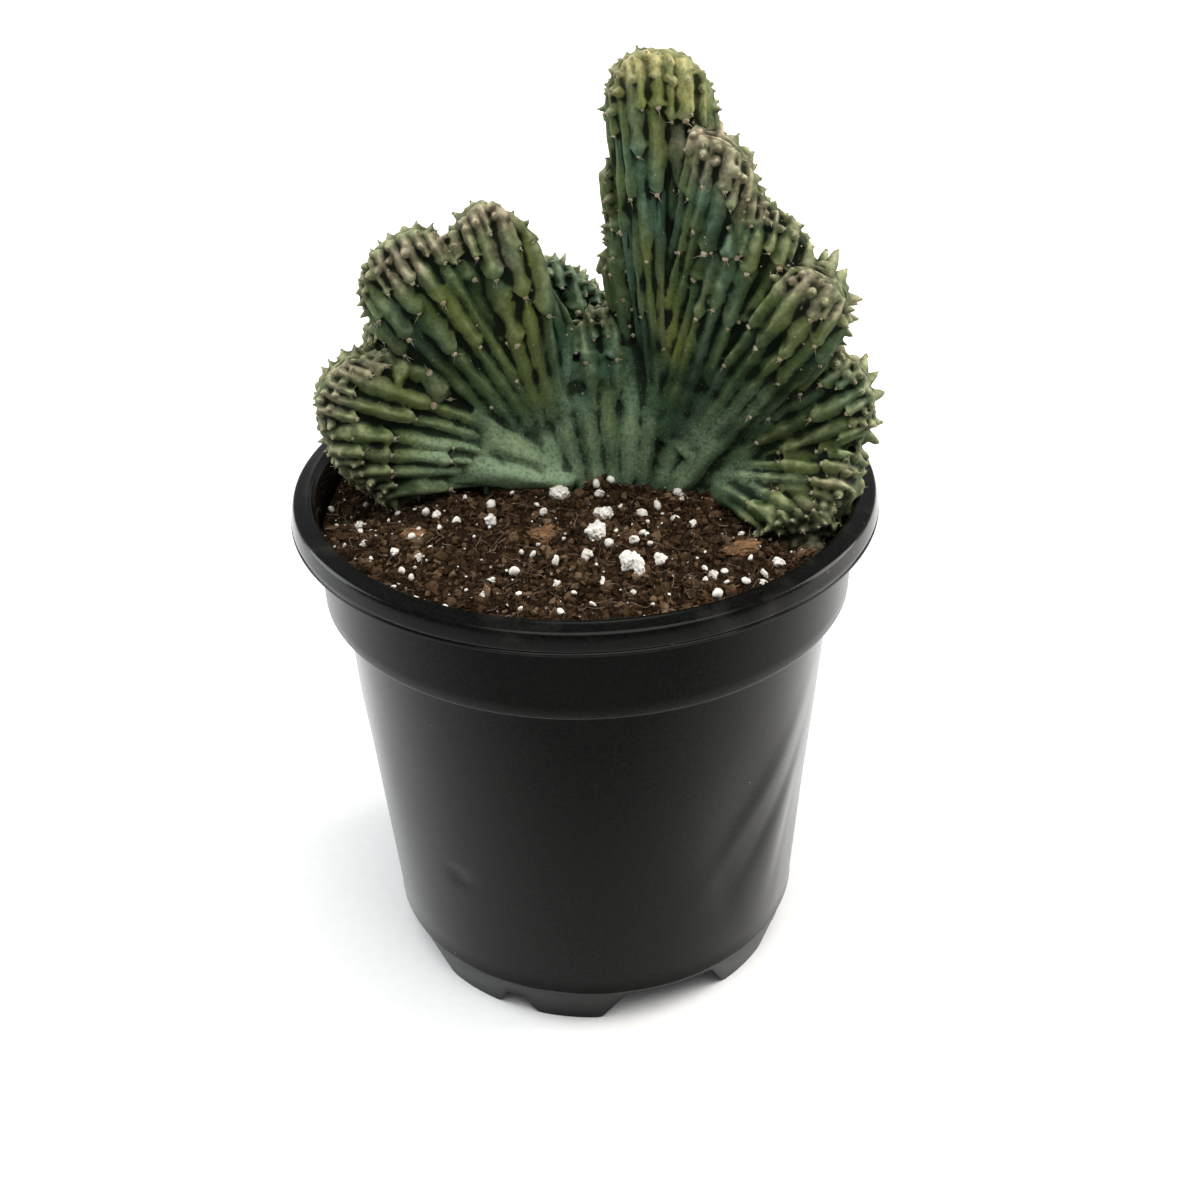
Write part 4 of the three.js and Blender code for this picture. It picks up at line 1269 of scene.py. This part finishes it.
def dried_pup(plant, sides=14, rings=9):
    """A few small shrivelled lumps beside the plant's lowest fold."""
    polar = np.linspace(0.12, math.pi - 0.12, rings)[:, None]
    angle = (np.arange(sides) * TAU / sides)[None, :]
    wrinkle = 1 + 0.10 * np.cos(7 * angle)
    lump = np.stack([np.sin(polar) * np.cos(angle) * wrinkle, np.sin(polar) * np.sin(angle) * wrinkle,
                     -np.cos(polar) * np.ones_like(angle)], -1).reshape(-1, 3)
    for middle, half in PUP:
        foot = (0, 0, half[2])
        points = np.vstack([np.subtract(middle, foot), middle + lump * half, np.add(middle, foot)])
        plant.add(points, tube_faces(rings, sides), age=0.95, tint=0.9, tip=0.5)


def inside_pot(points):
    """Moves points of the plant that would touch the wall or the rim inwards."""
    radius = np.hypot(points[:, 0], points[:, 1])
    height = points[:, 2]
    limit = np.where(height > POT.lip_under - 1.0, POT.lip_inner - 1.2, POT.neck_foot_radius - 1.9)
    limit = np.where(height > POT.rim + 0.5, 1e3, limit)
    points[:, :2] *= np.where(radius > limit, limit / radius, 1.0)[:, None]
    return points


def stretch_distance(points, start, end):
    """Distance of the points from the straight stretch between two places."""
    start, end = np.array(start, float), np.array(end, float)
    run = end - start
    share = np.clip((points - start) @ run / max(run @ run, 1e-9), 0, 1)
    return np.linalg.norm(points - start - share[:, None] * run, axis=1)


def patch_values(points, patches):
    """How strongly each point lies in a patch: its strength along its stretch, fading with distance."""
    total = np.zeros(len(points))
    for start, end, reach, strength in patches:
        total = np.maximum(total, strength * bell(stretch_distance(points, start, end), reach / 1.6))
    return total


def carry_values(source, target, names):
    """Gives each point of the target the values of the nearest place on the source."""
    faces = [face.vertices for face in source.data.polygons]
    tree = BVHTree.FromPolygons([v.co for v in source.data.vertices], faces)
    corners = np.array([face[:] for face in faces])
    source_points = points_of(source.data)
    nearest = [tree.find_nearest(v.co) for v in target.data.vertices]
    corners = corners[[hit[2] for hit in nearest]]
    place = np.array([hit[0] for hit in nearest]) / MM
    weight = 1 / (np.linalg.norm(source_points[corners] - place[:, None, :], axis=2) + 0.05)
    weight /= weight.sum(1, keepdims=True)
    for name in names:
        set_value(target.data, name, (get_value(source.data, name)[corners] * weight).sum(1))


def smooth_root(piece):
    """Melts the ridges together near the root of the folds, where the old ribs have fused."""
    share = np.round(1 - ramp(get_value(piece.data, "age"), 0.12, 0.42), 1)
    group = piece.vertex_groups.new(name="root")
    for level in np.unique(share):
        group.add(np.flatnonzero(share == level).tolist(), float(level), "REPLACE")
    modify(piece, "SMOOTH", vertex_group=group.name, factor=0.5, iterations=ROOT_SMOOTHING)
    apply_modifiers(piece)
    piece.vertex_groups.clear()


def fuse(piece):
    """Melts the closed shapes of a piece into one skin of a set number of triangles."""
    modify(piece, "REMESH", mode="VOXEL", voxel_size=CREST_VOXEL * MM)
    apply_modifiers(piece)
    keep_largest_part(piece)
    triangles = sum(len(p.vertices) - 2 for p in piece.data.polygons)
    modify(piece, "SMOOTH", factor=0.5, iterations=1)
    modify(piece, "DECIMATE", ratio=min(1.0, CREST_TRIANGLES / triangles))
    apply_modifiers(piece)


def cactus_crest(material):
    """The whole plant as one skin. Returns it and the areoles: place, direction, finger width, age."""
    plant = Plant()
    trunk_body(plant)
    dried_pup(plant)
    for foot, head, width in STEM_RIDGES:
        stem_ridge(plant, foot, head, width, plant.random.uniform())
    for fold in FOLDS.values():
        fold["line"] = crest_line(fold["crest"])
        fold_body(fold, plant)
        grow_ribs(plant, fold)
    rough = plant.make("rough_crest")
    piece = add_object("crested_cactus", np.concatenate(plant.points), plant.faces)
    fuse(piece)
    carry_values(rough, piece, plant.values)
    bpy.data.objects.remove(rough)
    smooth_root(piece)
    points = points_of(piece.data)
    points += normals_of(piece.data) * uneven(points, SKIN_UNEVENNESS)[:, None]
    set_points(piece.data, inside_pot(points))
    # hollow and depth lead the painted shade of the grooves, upward the painted highlight of the bloom
    set_value(piece.data, "hollow", hollows(piece, 8))
    set_value(piece.data, "depth", hollows(piece, 60))
    set_value(piece.data, "upward", normals_of(piece.data)[:, 2])
    for name, patches in PATCHES.items():
        set_value(piece.data, name, patch_values(points, patches))
    return dress(piece, material), plant.areoles


# ---------------------------------------------------------------- what grows on a surface


class Growth(Nodes):
    """A geometry tree in the making: what grows on a mesh, with named inputs for its sizes and seed."""

    def __init__(self, name, **inputs):
        nodes, self.given, self.result = new_group(name, "GeometryNodeTree", "Geometry", "Geometry", inputs)
        super().__init__(nodes.tree)

    def named(self, name, kind="FLOAT"):
        return self.out("GeometryNodeInputNamedAttribute", {"Name": name}, "Attribute", data_type=kind)

    def random(self, low, high, step=0, vector=False):
        """A random number for each element, or a vector of three, drawn from the seed and the step."""
        seed = self.plus(self.given["Seed"], step) if step else self.given["Seed"]
        if vector:
            limits = {0: (low,) * 3, 1: (high,) * 3, "Seed": seed}
            return self.out("FunctionNodeRandomValue", limits, data_type="FLOAT_VECTOR")
        return self.out("FunctionNodeRandomValue", {2: low, 3: high, "Seed": seed}, 1, data_type="FLOAT")

    def vector(self, x, y, z):
        return self.out("ShaderNodeCombineXYZ", {0: x, 1: y, 2: z})

    def turned_to(self, direction):
        return self.out("FunctionNodeAlignRotationToVector", {"Vector": direction}, axis="Z")

    def moved(self, geometry, offset):
        return self.out("GeometryNodeSetPosition", {"Geometry": geometry, "Offset": offset})

    def jittered(self, geometry, scale, amount, detail=1.0, middle=(0.5, 0.5, 0.5)):
        """Moves every point by a smooth random amount, so that no two copies look alike."""
        drawn = self.out("ShaderNodeTexNoise", {"Scale": scale, "Detail": detail}, "Color")
        return self.moved(geometry, self.scale(self.vector_math("SUBTRACT", drawn, middle), amount))

    def sown(self, method, lift, **inputs):
        """Points scattered over the surface and raised from it."""
        inputs = {"Mesh": self.given["Geometry"], "Seed": self.given["Seed"], **titled(inputs)}
        spread = self.add("GeometryNodeDistributePointsOnFaces", inputs, distribute_method=method)
        return self.moved(spread.outputs["Points"], self.scale(spread.outputs["Normal"], lift))

    def copies(self, points, shape, rotation, scale):
        inputs = {"Points": points, "Instance": shape, "Rotation": rotation, "Scale": scale}
        return self.out("GeometryNodeInstanceOnPoints", inputs)

    def store(self, geometry, name, value):
        inputs = {"Geometry": geometry, "Name": name, "Value": value}
        return self.out("GeometryNodeStoreNamedAttribute", inputs, data_type="FLOAT", domain="INSTANCE")

    def realized(self, geometry):
        return self.out("GeometryNodeRealizeInstances", {0: geometry})

    def finish(self, geometry, material, smooth=True):
        """Ends the tree with plain geometry in its material."""
        solid = self.out("GeometryNodeSetShadeSmooth", {0: self.realized(geometry), "Shade Smooth": smooth})
        inputs = {"Geometry": solid, "Material": material}
        self.give(self.result, self.out("GeometryNodeSetMaterial", inputs))
        return self.tree


def grow(name, source, tree, **values):
    """A plain mesh of what a geometry tree makes on a source mesh."""
    piece = bpy.data.objects.new(name, source.data.copy())
    bpy.context.scene.collection.objects.link(piece)
    modifier = piece.modifiers.new(name, "NODES")
    modifier.node_group = tree
    wanted = titled(values)
    for item in tree.interface.items_tree:
        if item.item_type == "SOCKET" and item.in_out == "INPUT" and item.name in wanted:
            modifier[item.identifier] = wanted[item.name]
    apply_modifiers(piece)
    return piece


def felt_tree(material):
    """A low lumpy cushion on every point, turned to its direction."""
    felt = Growth("felt", width=0.001, thickness=0.0006, seed=3)
    given = felt.given
    points = felt.out("GeometryNodeMeshToPoints", {0: given["Geometry"]})
    cushion = felt.out("GeometryNodeMeshUVSphere", {"Segments": 7, "Rings": 5, "Radius": 0.5})
    turned = felt.turned_to(felt.named("direction", "FLOAT_VECTOR"))
    size = felt.times(felt.named("size"), felt.random(0.75, 1.2))
    scale = felt.scale(felt.vector(given["Width"], given["Width"], given["Thickness"]), size)
    placed = felt.store(felt.copies(points, cushion, turned, scale), "young", felt.named("young"))
    return felt.finish(felt.jittered(felt.realized(placed), 1400.0, 0.00045), material)


def spine_tree(material):
    """A tuft of thin cones on every point, spread about its direction."""
    spines = Growth("spines", count=4, spread=1.0, length=0.002, thickness=0.0001, seed=5)
    given = spines.given
    points = spines.out("GeometryNodeMeshToPoints", {0: given["Geometry"]})
    inputs = {"Geometry": points, "Amount": given["Count"]}
    points = spines.out("GeometryNodeDuplicateElements", inputs, domain="POINT")
    spine = spines.out("GeometryNodeMeshCone", {
        "Vertices": 4, "Side Segments": 1, "Radius Top": 0.08, "Radius Bottom": 1.0, "Depth": 1.0})
    astray = spines.scale(spines.random(-1.0, 1.0, vector=True), given["Spread"])
    direction = spines.vector_math("ADD", spines.named("direction", "FLOAT_VECTOR"), astray)
    drawn = spines.math("POWER", spines.random(0.0, 1.0, 1), 2.2)
    length = spines.times(given["Length"], spines.map(drawn, 0.0, 1.0, 0.45, 1.9), spines.named("size"))
    scale = spines.vector(given["Thickness"], given["Thickness"], length)
    return spines.finish(spines.copies(points, spine, spines.turned_to(direction), scale), material)


# ---------------------------------------------------------------- cactus: areoles


def areole_places(crest, areoles):
    """A mesh of loose points on the skin, one for each areole, with its direction, size and youth."""
    tree = BVHTree.FromObject(crest, bpy.context.evaluated_depsgraph_get())
    kept, directions, sizes, youth = [], [], [], []
    for place, direction, width, age in areoles:
        hit, normal, _, gap = tree.find_nearest(Vector(place) * MM)
        if gap > AREOLE_REACH * MM:
            continue
        spot = np.array(hit) / MM
        spacing = AREOLE_SPACING * (0.65 if age > 0.8 else 1)
        if kept and np.min(np.linalg.norm(np.array(kept) - spot, axis=1)) < spacing:
            continue
        kept.append(spot)
        directions.append(unit(np.array(normal) + 0.5 * direction))
        sizes.append(float(np.clip(width / 3.0, 0.45, 1.1)))
        youth.append(age)
    places = add_object("areole_places", kept, [])
    for name, values in {"direction": directions, "size": sizes, "young": youth}.items():
        set_value(places.data, name, values)
    return places


# ---------------------------------------------------------------- nursery pot


def wall_radius(height):
    share = (height - POT.skirt_top) / (POT.ledge - POT.skirt_top)
    return lerp(POT.skirt_radius, POT.wall_top_radius, share)


def turn_between(angle, middle):
    return (angle - middle + 180) % 360 - 180


def buckle(angle, height):
    """How far the thin wall stands out from its cone."""
    total = np.zeros(np.broadcast(angle, height).shape)
    for middle, level, across, along, out, lean in BUCKLES:
        above = height - level
        aside = turn_between(angle, middle + lean * above)
        total = total + out * bell(aside, across) * bell(above, along)
    return total


def skirt_edge(angle):
    """Height of the skirt's lower edge: zero under the feet, raised in the notches."""
    edge = np.zeros_like(angle)
    for middle, bottom, top, height in NOTCHES:
        slope = (height + NOTCH_BELOW) / ((bottom - top) / 2)
        for turn in range(NOTCH_REPEATS):
            aside = np.abs(turn_between(angle, middle + 360 * turn / NOTCH_REPEATS))
            along = POT.foot_radius * np.sin(np.radians(np.minimum(aside, 90)))
            rise = (bottom / 2 - along) * slope - NOTCH_BELOW
            edge = np.maximum(edge, np.clip(rise, 0, height))
    return (np.roll(edge, 1) + 2 * edge + np.roll(edge, -1)) / 4


def between(start, end, rows):
    """Rings from one (radius, height) to another, without the first."""
    shares = np.linspace(0, 1, rows + 1)[1:]
    return [(lerp(start[0], end[0], share), lerp(start[1], end[1], share)) for share in shares]


def pot_rings(angle):
    """Radius and height of every ring of the pot, from its underside out, over the rim and down inside."""
    edge = skirt_edge(angle)
    skirt, lip = POT.skirt_top, POT.skirt_radius + POT.skirt_lip
    top, foot = POT.wall_top_radius, POT.neck_foot_radius
    levels = np.linspace(skirt + 2.0, POT.ledge - 1.4, POT.wall_rows)
    inner_foot = (foot - POT.wall, POT.neck_foot + 0.7)
    return [
        *[(radius, POT.floor_bottom) for radius in POT.floor_rings],
        (POT.floor_edge, POT.floor_bottom),
        (lerp(POT.foot_radius - POT.wall, POT.floor_edge, edge / POT.floor_bottom), edge),
        (lerp(POT.foot_radius, POT.skirt_radius, edge / skirt), edge),
        (POT.skirt_radius - 0.1, skirt - 0.35), (lip, skirt), (lip, skirt + 0.5),
        *[(wall_radius(level) + buckle(angle, level), level) for level in levels],
        (top, POT.ledge - 0.5), (top + 0.15, POT.ledge - 0.1), (top + 0.6, POT.ledge + 0.1),
        (foot - 0.7, POT.neck_foot - 0.6), (foot - 0.2, POT.neck_foot - 0.4), (foot, POT.neck_foot),
        *between((foot, POT.neck_foot), (POT.neck_top_radius, POT.neck_top), POT.neck_rows),
        *RIM_OUTLINE,
        *between(RIM_OUTLINE[-1], inner_foot, POT.neck_rows),
        (inner_foot[0] - 0.5, inner_foot[1] - 0.6),
        (top - 0.4, POT.ledge + 1.05), (top - 0.9, POT.ledge + 0.6),
        *[(wall_radius(level) - POT.wall + buckle(angle, level), level) for level in levels[::-1]],
        (POT.floor_edge - 0.2, POT.floor_top + 0.3), (POT.floor_edge - 0.9, POT.floor_top),
        *[(radius, POT.floor_top) for radius in POT.floor_rings[::-1]],
    ]


def lathe(name, angle, rings, low, high):
    """A closed piece from rings of (radius, height) round the pot's axis and the heights of its middles."""
    turn = np.radians(angle)
    radii = np.array([np.broadcast_to(radius, angle.shape) for radius, _ in rings])
    heights = np.array([np.broadcast_to(height, angle.shape) for _, height in rings])
    points = np.stack([radii * np.sin(turn), -radii * np.cos(turn), heights], -1).reshape(-1, 3)
    points = np.vstack([(0, 0, low), points, (0, 0, high)])
    piece = add_object(name, points, tube_faces(len(rings), len(angle)))
    face_outwards(piece)
    return piece


def drain_cutter():
    """Upright rods where the drain holes are."""
    turns = math.radians(DRAINS.angle) + np.arange(DRAINS.count) * TAU / DRAINS.count
    places = [(0.0, 0.0)]
    places += [(DRAINS.circle * math.sin(turn), -DRAINS.circle * math.cos(turn)) for turn in turns]
    parts = Parts()
    angle = np.arange(DRAINS.sides) * TAU / DRAINS.sides
    levels = (POT.floor_bottom - DRAINS.beyond, POT.floor_top + DRAINS.beyond)
    for x, y in places:
        circle = x + DRAINS.radius * np.cos(angle), y + DRAINS.radius * np.sin(angle)
        rings = [np.stack([*circle, np.full(len(angle), level)], -1) for level in levels]
        parts.add(np.vstack([(x, y, levels[0]), *rings, (x, y, levels[1])]), tube_faces(2, DRAINS.sides))
    cutter = parts.make("drain_cutter")
    face_outwards(cutter)
    return cutter


def pot_shell(material):
    """The whole pot as one closed skin with its notched skirt and drain holes."""
    angle = np.arange(POT.segments) * 360 / POT.segments
    piece = lathe("pot_shell", angle, pot_rings(angle), POT.floor_bottom, POT.floor_top)
    cutter = drain_cutter()
    modify(piece, "BOOLEAN", operation="DIFFERENCE", solver="EXACT", object=cutter)
    apply_modifiers(piece)
    bpy.data.objects.remove(cutter)
    return dress(piece, material, 40)


# ---------------------------------------------------------------- potting mix


def soil_height(x, y):
    """Height of the mix before its clods: a low mound with slow waves, sunk under the low folds."""
    share = np.minimum(1, np.hypot(x, y) / SOIL.radius)
    wave = TAU / SOIL.lump_pitch
    short = np.sin(x * wave) * np.cos(0.8 * y * wave)
    long = np.sin(0.45 * (x + y) * wave)
    sunk = 0
    for (sink_x, sink_y), spread, depth in SINKS:
        sunk = sunk + depth * bell(np.hypot(x - sink_x, y - sink_y), spread)
    return SOIL.edge + SOIL.mound * (1 - share ** 2) + SOIL.lump * (short + long) * (1 - share ** 6) - sunk


def soil_surface(x, y, layers, strength=1.0):
    flat = np.stack([x, y, np.zeros_like(x)], -1)
    return soil_height(x, y) + uneven(flat, layers) * strength


def potting_mix_plug(material):
    """The plug of mix: an uneven top, and sides that follow the pot's inside at a small clearance."""
    angle = np.arange(SOIL.columns) * 360 / SOIL.columns
    turn = np.radians(angle)
    inset = POT.wall + SOIL.clearance
    floor = POT.floor_top + SOIL.clearance
    levels = np.linspace(floor + 1.5, POT.ledge - 1, SOIL.side_rows)
    rings = [(20.0, floor), (40.0, floor), (wall_radius(floor) - inset - 1.2, floor)]
    rings += [(wall_radius(level) - inset + buckle(angle, level), level) for level in levels]
    rings += [(wall_radius(POT.ledge) - inset, POT.ledge + 1.6), (SOIL.radius - 0.5, POT.neck_foot + 1.6)]
    top = np.linspace(1, 0.012, SOIL.rings) * SOIL.radius
    for radius in top:
        x, y = radius * np.sin(turn), -radius * np.cos(turn)
        rings.append((radius, soil_surface(x, y, SOIL_ROUGHNESS, 1.0 if radius < top[2] else 0.6)))
    middle = float(np.mean(rings[-1][1]))
    return dress(lathe("potting_mix_plug", angle, rings, floor, middle), material)


def soil_face():
    """The open top of the mix that crumbs, grains and roots lie on, emptier where the stem stands."""
    count = SOIL.face_steps
    steps = np.linspace(-SOIL.radius, SOIL.radius, count)
    x, y = (places.ravel() for places in np.meshgrid(steps, steps))
    inside = np.hypot(x, y) < SOIL.radius - 0.6
    faces = []
    for row in range(count - 1):
        for a in range(row * count, (row + 1) * count - 1):
            face = (a, a + 1, a + count + 1, a + count)
            if inside[list(face)].all():
                faces.append(face)
    piece = add_object("soil_face", np.stack([x, y, soil_surface(x, y, SOIL_ROUGHNESS[:2])], -1), faces)
    across = (x - TRUNK.centre[0]) / SOIL.stem_clearing
    along = (y - TRUNK.centre[1]) / (SOIL.stem_clearing * TRUNK.depth_ratio)
    set_value(piece.data, "open", ramp(np.hypot(across, along), 0.85, 1.0))
    return piece


def lump_tree(material, segments, rings):
    """Lumps of random size, shape and turn, spread over a surface without crowding."""
    lumps = Growth("scattered lumps", spacing=0.001, density=1e5, smallest=0.001, largest=0.003, rarity=2.0,
                   lift=0.0003, roughness=0.0006, seed=1)
    given = lumps.given
    points = lumps.sown("POISSON", given["Lift"], distance_min=given["Spacing"],
                        density_max=given["Density"], density_factor=lumps.named("open"))
    lump = lumps.out("GeometryNodeMeshUVSphere", {"Segments": segments, "Rings": rings, "Radius": 0.5})
    drawn = lumps.math("POWER", lumps.random(0.0, 1.0), given["Rarity"])
    size = lumps.map(drawn, 0.0, 1.0, given["Smallest"], given["Largest"])
    scale = lumps.scale(lumps.random(0.6, 1.35, 11, vector=True), size)
    placed = lumps.copies(points, lump, lumps.random(0.0, TAU, 12, vector=True), scale)
    placed = lumps.store(placed, "tint", lumps.random(0.0, 1.0, 13))
    rough = lumps.jittered(lumps.realized(placed), 900.0, given["Roughness"])
    return lumps.finish(rough, material, smooth=segments > 5)


def fibre_tree(material):
    """Short curled fibres lying on a surface."""
    fibres = Growth("fibres", density=1e4, length=0.006, radius=0.0001, curl=0.004, seed=1)
    given = fibres.given
    points = fibres.sown("RANDOM", 0.0006, density=fibres.times(given["Density"], fibres.named("open")))
    line = fibres.out("GeometryNodeCurvePrimitiveLine", {"Start": (-0.5, 0, 0), "End": (0.5, 0, 0)})
    line = fibres.out("GeometryNodeResampleCurve", {"Curve": line, "Count": 9})
    spin = fibres.vector(
        fibres.random(-0.25, 0.25, 1), fibres.random(-0.30, 0.30, 2), fibres.random(0.0, TAU, 3))
    drawn = fibres.math("POWER", fibres.random(0.0, 1.0, 4), 1.8)
    length = fibres.times(given["Length"], fibres.map(drawn, 0.0, 1.0, 0.3, 1.6))
    placed = fibres.copies(points, line, spin, fibres.scale((1.0, 1.0, 1.0), length))
    placed = fibres.store(placed, "tint", fibres.random(0.0, 1.0, 5))
    strands = fibres.jittered(fibres.realized(placed), 190.0, given["Curl"], 2.0, (0.5, 0.5, 0.42))
    taper = fibres.map(fibres.out("GeometryNodeSplineParameter", output="Factor"), 0.0, 1.0, 1.25, 0.5)
    section = fibres.out("GeometryNodeCurvePrimitiveCircle", {"Resolution": 4, "Radius": given["Radius"]})
    tubes = fibres.out("GeometryNodeCurveToMesh", {
        "Curve": strands, "Profile Curve": section, "Scale": taper, "Fill Caps": True})
    return fibres.finish(tubes, material)


# ---------------------------------------------------------------- perlite and bark


def ball(subdivisions):
    shape = bmesh.new()
    bmesh.ops.create_icosphere(shape, subdivisions=subdivisions, radius=1.0)
    points = np.array([v.co[:] for v in shape.verts])
    faces = [[v.index for v in face.verts] for face in shape.faces]
    shape.free()
    return points, faces


def box_of(node):
    """Middle and half size of a CAD node's box, in millimetres."""
    low, high = (np.array(corner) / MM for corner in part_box(node))
    return (low + high) / 2, (high - low) / 2


def perlite_grain(name, node, material, random):
    """A puffed grain: a ball with lobes and pits, as large as its CAD solid."""
    middle, half = box_of(node)
    points, faces = ball(5 if half.max() > LARGE_GRAIN else 4)
    radius = np.full(len(points), 0.62)
    for _ in range(7):
        lobe = unit(random.normal(size=3))
        radius += random.uniform(0.12, 0.34) * np.exp((points @ lobe - 1) / random.uniform(0.05, 0.16))
    for _ in range(6):
        pit = unit(random.normal(size=3))
        radius -= random.uniform(0.10, 0.22) * np.exp((points @ pit - 1) / random.uniform(0.015, 0.04))
    seed = float(random.uniform(0, 50))
    radius += uneven(points, [(0.45, 0.16), (0.17, 0.10), (0.07, 0.05)], seed)
    shape = points * radius[:, None]
    shape = shape / np.abs(shape).max(0) * half * 1.04
    return dress(add_object(name, middle + shape, faces), material)


def bark_chip(name, node, turn, random):
    """A weathered flake of bark: frayed outline and fibres that run along it."""
    middle, half = box_of(node)
    sine, cosine = math.sin(math.radians(turn)), math.cos(math.radians(turn))
    along, across = np.array([cosine, sine, 0]), np.array([-sine, cosine, 0])
    points, faces = ball(6)
    flat = np.sign(points) * np.abs(points) ** np.array([0.8, 0.8, 0.55])
    frayed = 1 + uneven(points, [(0.5, 0.30), (0.16, 0.16)], float(random.uniform(0, 50)))
    fibre = uneven(points * (0.35, 1.0, 0.5), [(0.16, 0.30), (0.07, 0.16)], float(random.uniform(0, 50)))
    flat[:, :2] *= frayed[:, None]
    flat[:, 2] = flat[:, 2] * (1 + 1.1 * fibre) + 0.25 * fibre
    longest, shortest = half[:2].max(), half[:2].min()
    reach = np.abs(along) * longest + np.abs(across) * shortest
    size = np.array([half[0] / reach[0] * longest, half[1] / reach[1] * shortest, half[2]])
    flat = flat / np.abs(flat).max(0) * size
    world = flat[:, :1] * along + flat[:, 1:2] * across + flat[:, 2:] * (0, 0, 1)
    world = world / np.abs(world).max(0) * half * 1.05
    piece = add_object(name, middle + world, faces)
    set_value(piece.data, "hollow", hollows(piece, 6))
    return dress(piece, bark_wood(turn))


# ---------------------------------------------------------------- camera, floor and light


def place_in_scene(name, data):
    thing = bpy.data.objects.new(name, data)
    bpy.context.scene.collection.objects.link(thing)
    return thing


def camera():
    data = bpy.data.cameras.new("camera")
    data.lens = CAMERA.lens
    data.sensor_width = CAMERA.sensor
    data.sensor_fit = "HORIZONTAL"
    data.clip_start = CAMERA.nearest
    right, up = Vector(CAMERA.right), Vector(CAMERA.up)
    matrix = Matrix((right, up, right.cross(up))).transposed().to_4x4()
    matrix.translation = Vector(CAMERA.place) * MM
    view = place_in_scene("camera", data)
    view.matrix_world = matrix
    bpy.context.scene.camera = view


def stage():
    """A wide sheet of white paper with a faint tooth."""
    corners = [(x * FLOOR_REACH, y * FLOOR_REACH, 0) for x, y in ((-1, -1), (1, -1), (1, 1), (-1, 1))]
    floor = add_object("floor", corners, [(0, 1, 2, 3)])
    paper = Finish("floor_paper", 0.9, 0.1)
    white = paper.mix(paper.mottle(300.0, 0.3, 0.7), (0.93, 0.93, 0.93), (0.95, 0.95, 0.95))
    paper.give(paper.shader["Base Color"], white)
    floor.data.materials.append(paper.material)


def area_light(name, place, size, power, colour):
    data = bpy.data.lights.new(name, "AREA")
    data.shape = "RECTANGLE"
    data.size, data.size_y = size
    data.energy = power
    data.color = colour
    light = place_in_scene(name, data)
    light.location = place
    light.rotation_euler = (Vector(BOX_TARGET) - Vector(place)).to_track_quat("-Z", "Y").to_euler()


def lights():
    """A pale room, one large soft light high above and a soft box at each side."""
    world = bpy.data.worlds.new("studio")
    world.use_nodes = True
    background = world.node_tree.nodes["Background"].inputs
    background["Color"].default_value = ROOM.colour
    background["Strength"].default_value = ROOM.strength
    bpy.context.scene.world = world
    data = bpy.data.lights.new("ceiling", "SUN")
    data.energy = SUN.strength
    data.angle = math.radians(SUN.angle)
    data.color = SUN.colour
    ceiling = place_in_scene("ceiling", data)
    ceiling.rotation_euler = (-Vector(SUN.towards)).to_track_quat("-Z", "Y").to_euler()
    for name, settings in BOXES.items():
        area_light(name, *settings)
    bpy.context.scene.view_settings.view_transform = "Standard"


# ---------------------------------------------------------------- the object


def hand_over(piece, slot, *replaced):
    """Makes a finished piece ride on the body and stand for its CAD nodes. The slot is not used."""
    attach(piece, BODY)
    if replaced:
        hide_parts(*replaced)


def build_plant():
    crest, areoles = cactus_crest(cactus_skin())
    hand_over(crest, "cactus_skin", "cactus_crest")
    places = areole_places(crest, areoles)
    felt = grow("areole_felt", places, felt_tree(areole_felt()),
                width=FELT_SIZE * MM, thickness=FELT_HEIGHT * FELT_SIZE * MM, seed=3)
    hand_over(felt, "cactus_skin")
    spines = grow("spines", places, spine_tree(spine_horn()), count=SPINES.count, spread=SPINES.spread,
                  length=SPINES.length * MM, thickness=SPINES.thickness * MM, seed=5)
    hand_over(spines, "cactus_skin")
    bpy.data.objects.remove(places)


def build_pot():
    hand_over(pot_shell(pot_plastic()), "pot_plastic", "nursery_pot")


def build_mix():
    mix = potting_mix()
    hand_over(potting_mix_plug(mix), "potting_mix", "potting_mix")
    face = soil_face()
    crumbs = grow("peat_crumbs", face, lump_tree(mix, 5, 3), spacing=0.95 * MM, density=6e5,
                  smallest=0.9 * MM, largest=3.2 * MM, rarity=3.2, lift=0.1 * MM, roughness=2.4 * MM,
                  seed=21)
    hand_over(crumbs, "potting_mix")
    fines = grow("perlite_fines", face, lump_tree(perlite_foam(), 9, 6), spacing=2.5 * MM, density=3.2e4,
                 smallest=0.4 * MM, largest=2.5 * MM, rarity=3.0, lift=0.9 * MM, roughness=0.9 * MM,
                 seed=33)
    hand_over(fines, "perlite")
    roots = grow("fine_roots", face, fibre_tree(root_fibre()), density=9.5e4, length=4.2 * MM,
                 radius=0.10 * MM, curl=5.0 * MM, seed=41)
    hand_over(roots, "potting_mix")
    bpy.data.objects.remove(face)


def build_grains_and_chips():
    random = np.random.default_rng(19)
    foam = perlite_foam()
    for i in range(1, GRAINS + 1):
        node = "perlite_grain_%02d" % i
        hand_over(perlite_grain("puffed_" + node, node, foam, random), "perlite", node)
    for i, turn in enumerate(CHIP_TURNS, 1):
        node = "bark_chip_%02d" % i
        hand_over(bark_chip("weathered_" + node, node, turn, random), "bark", node)


camera()
stage()
lights()
build_pot()
build_mix()
build_grains_and_chips()
build_plant()
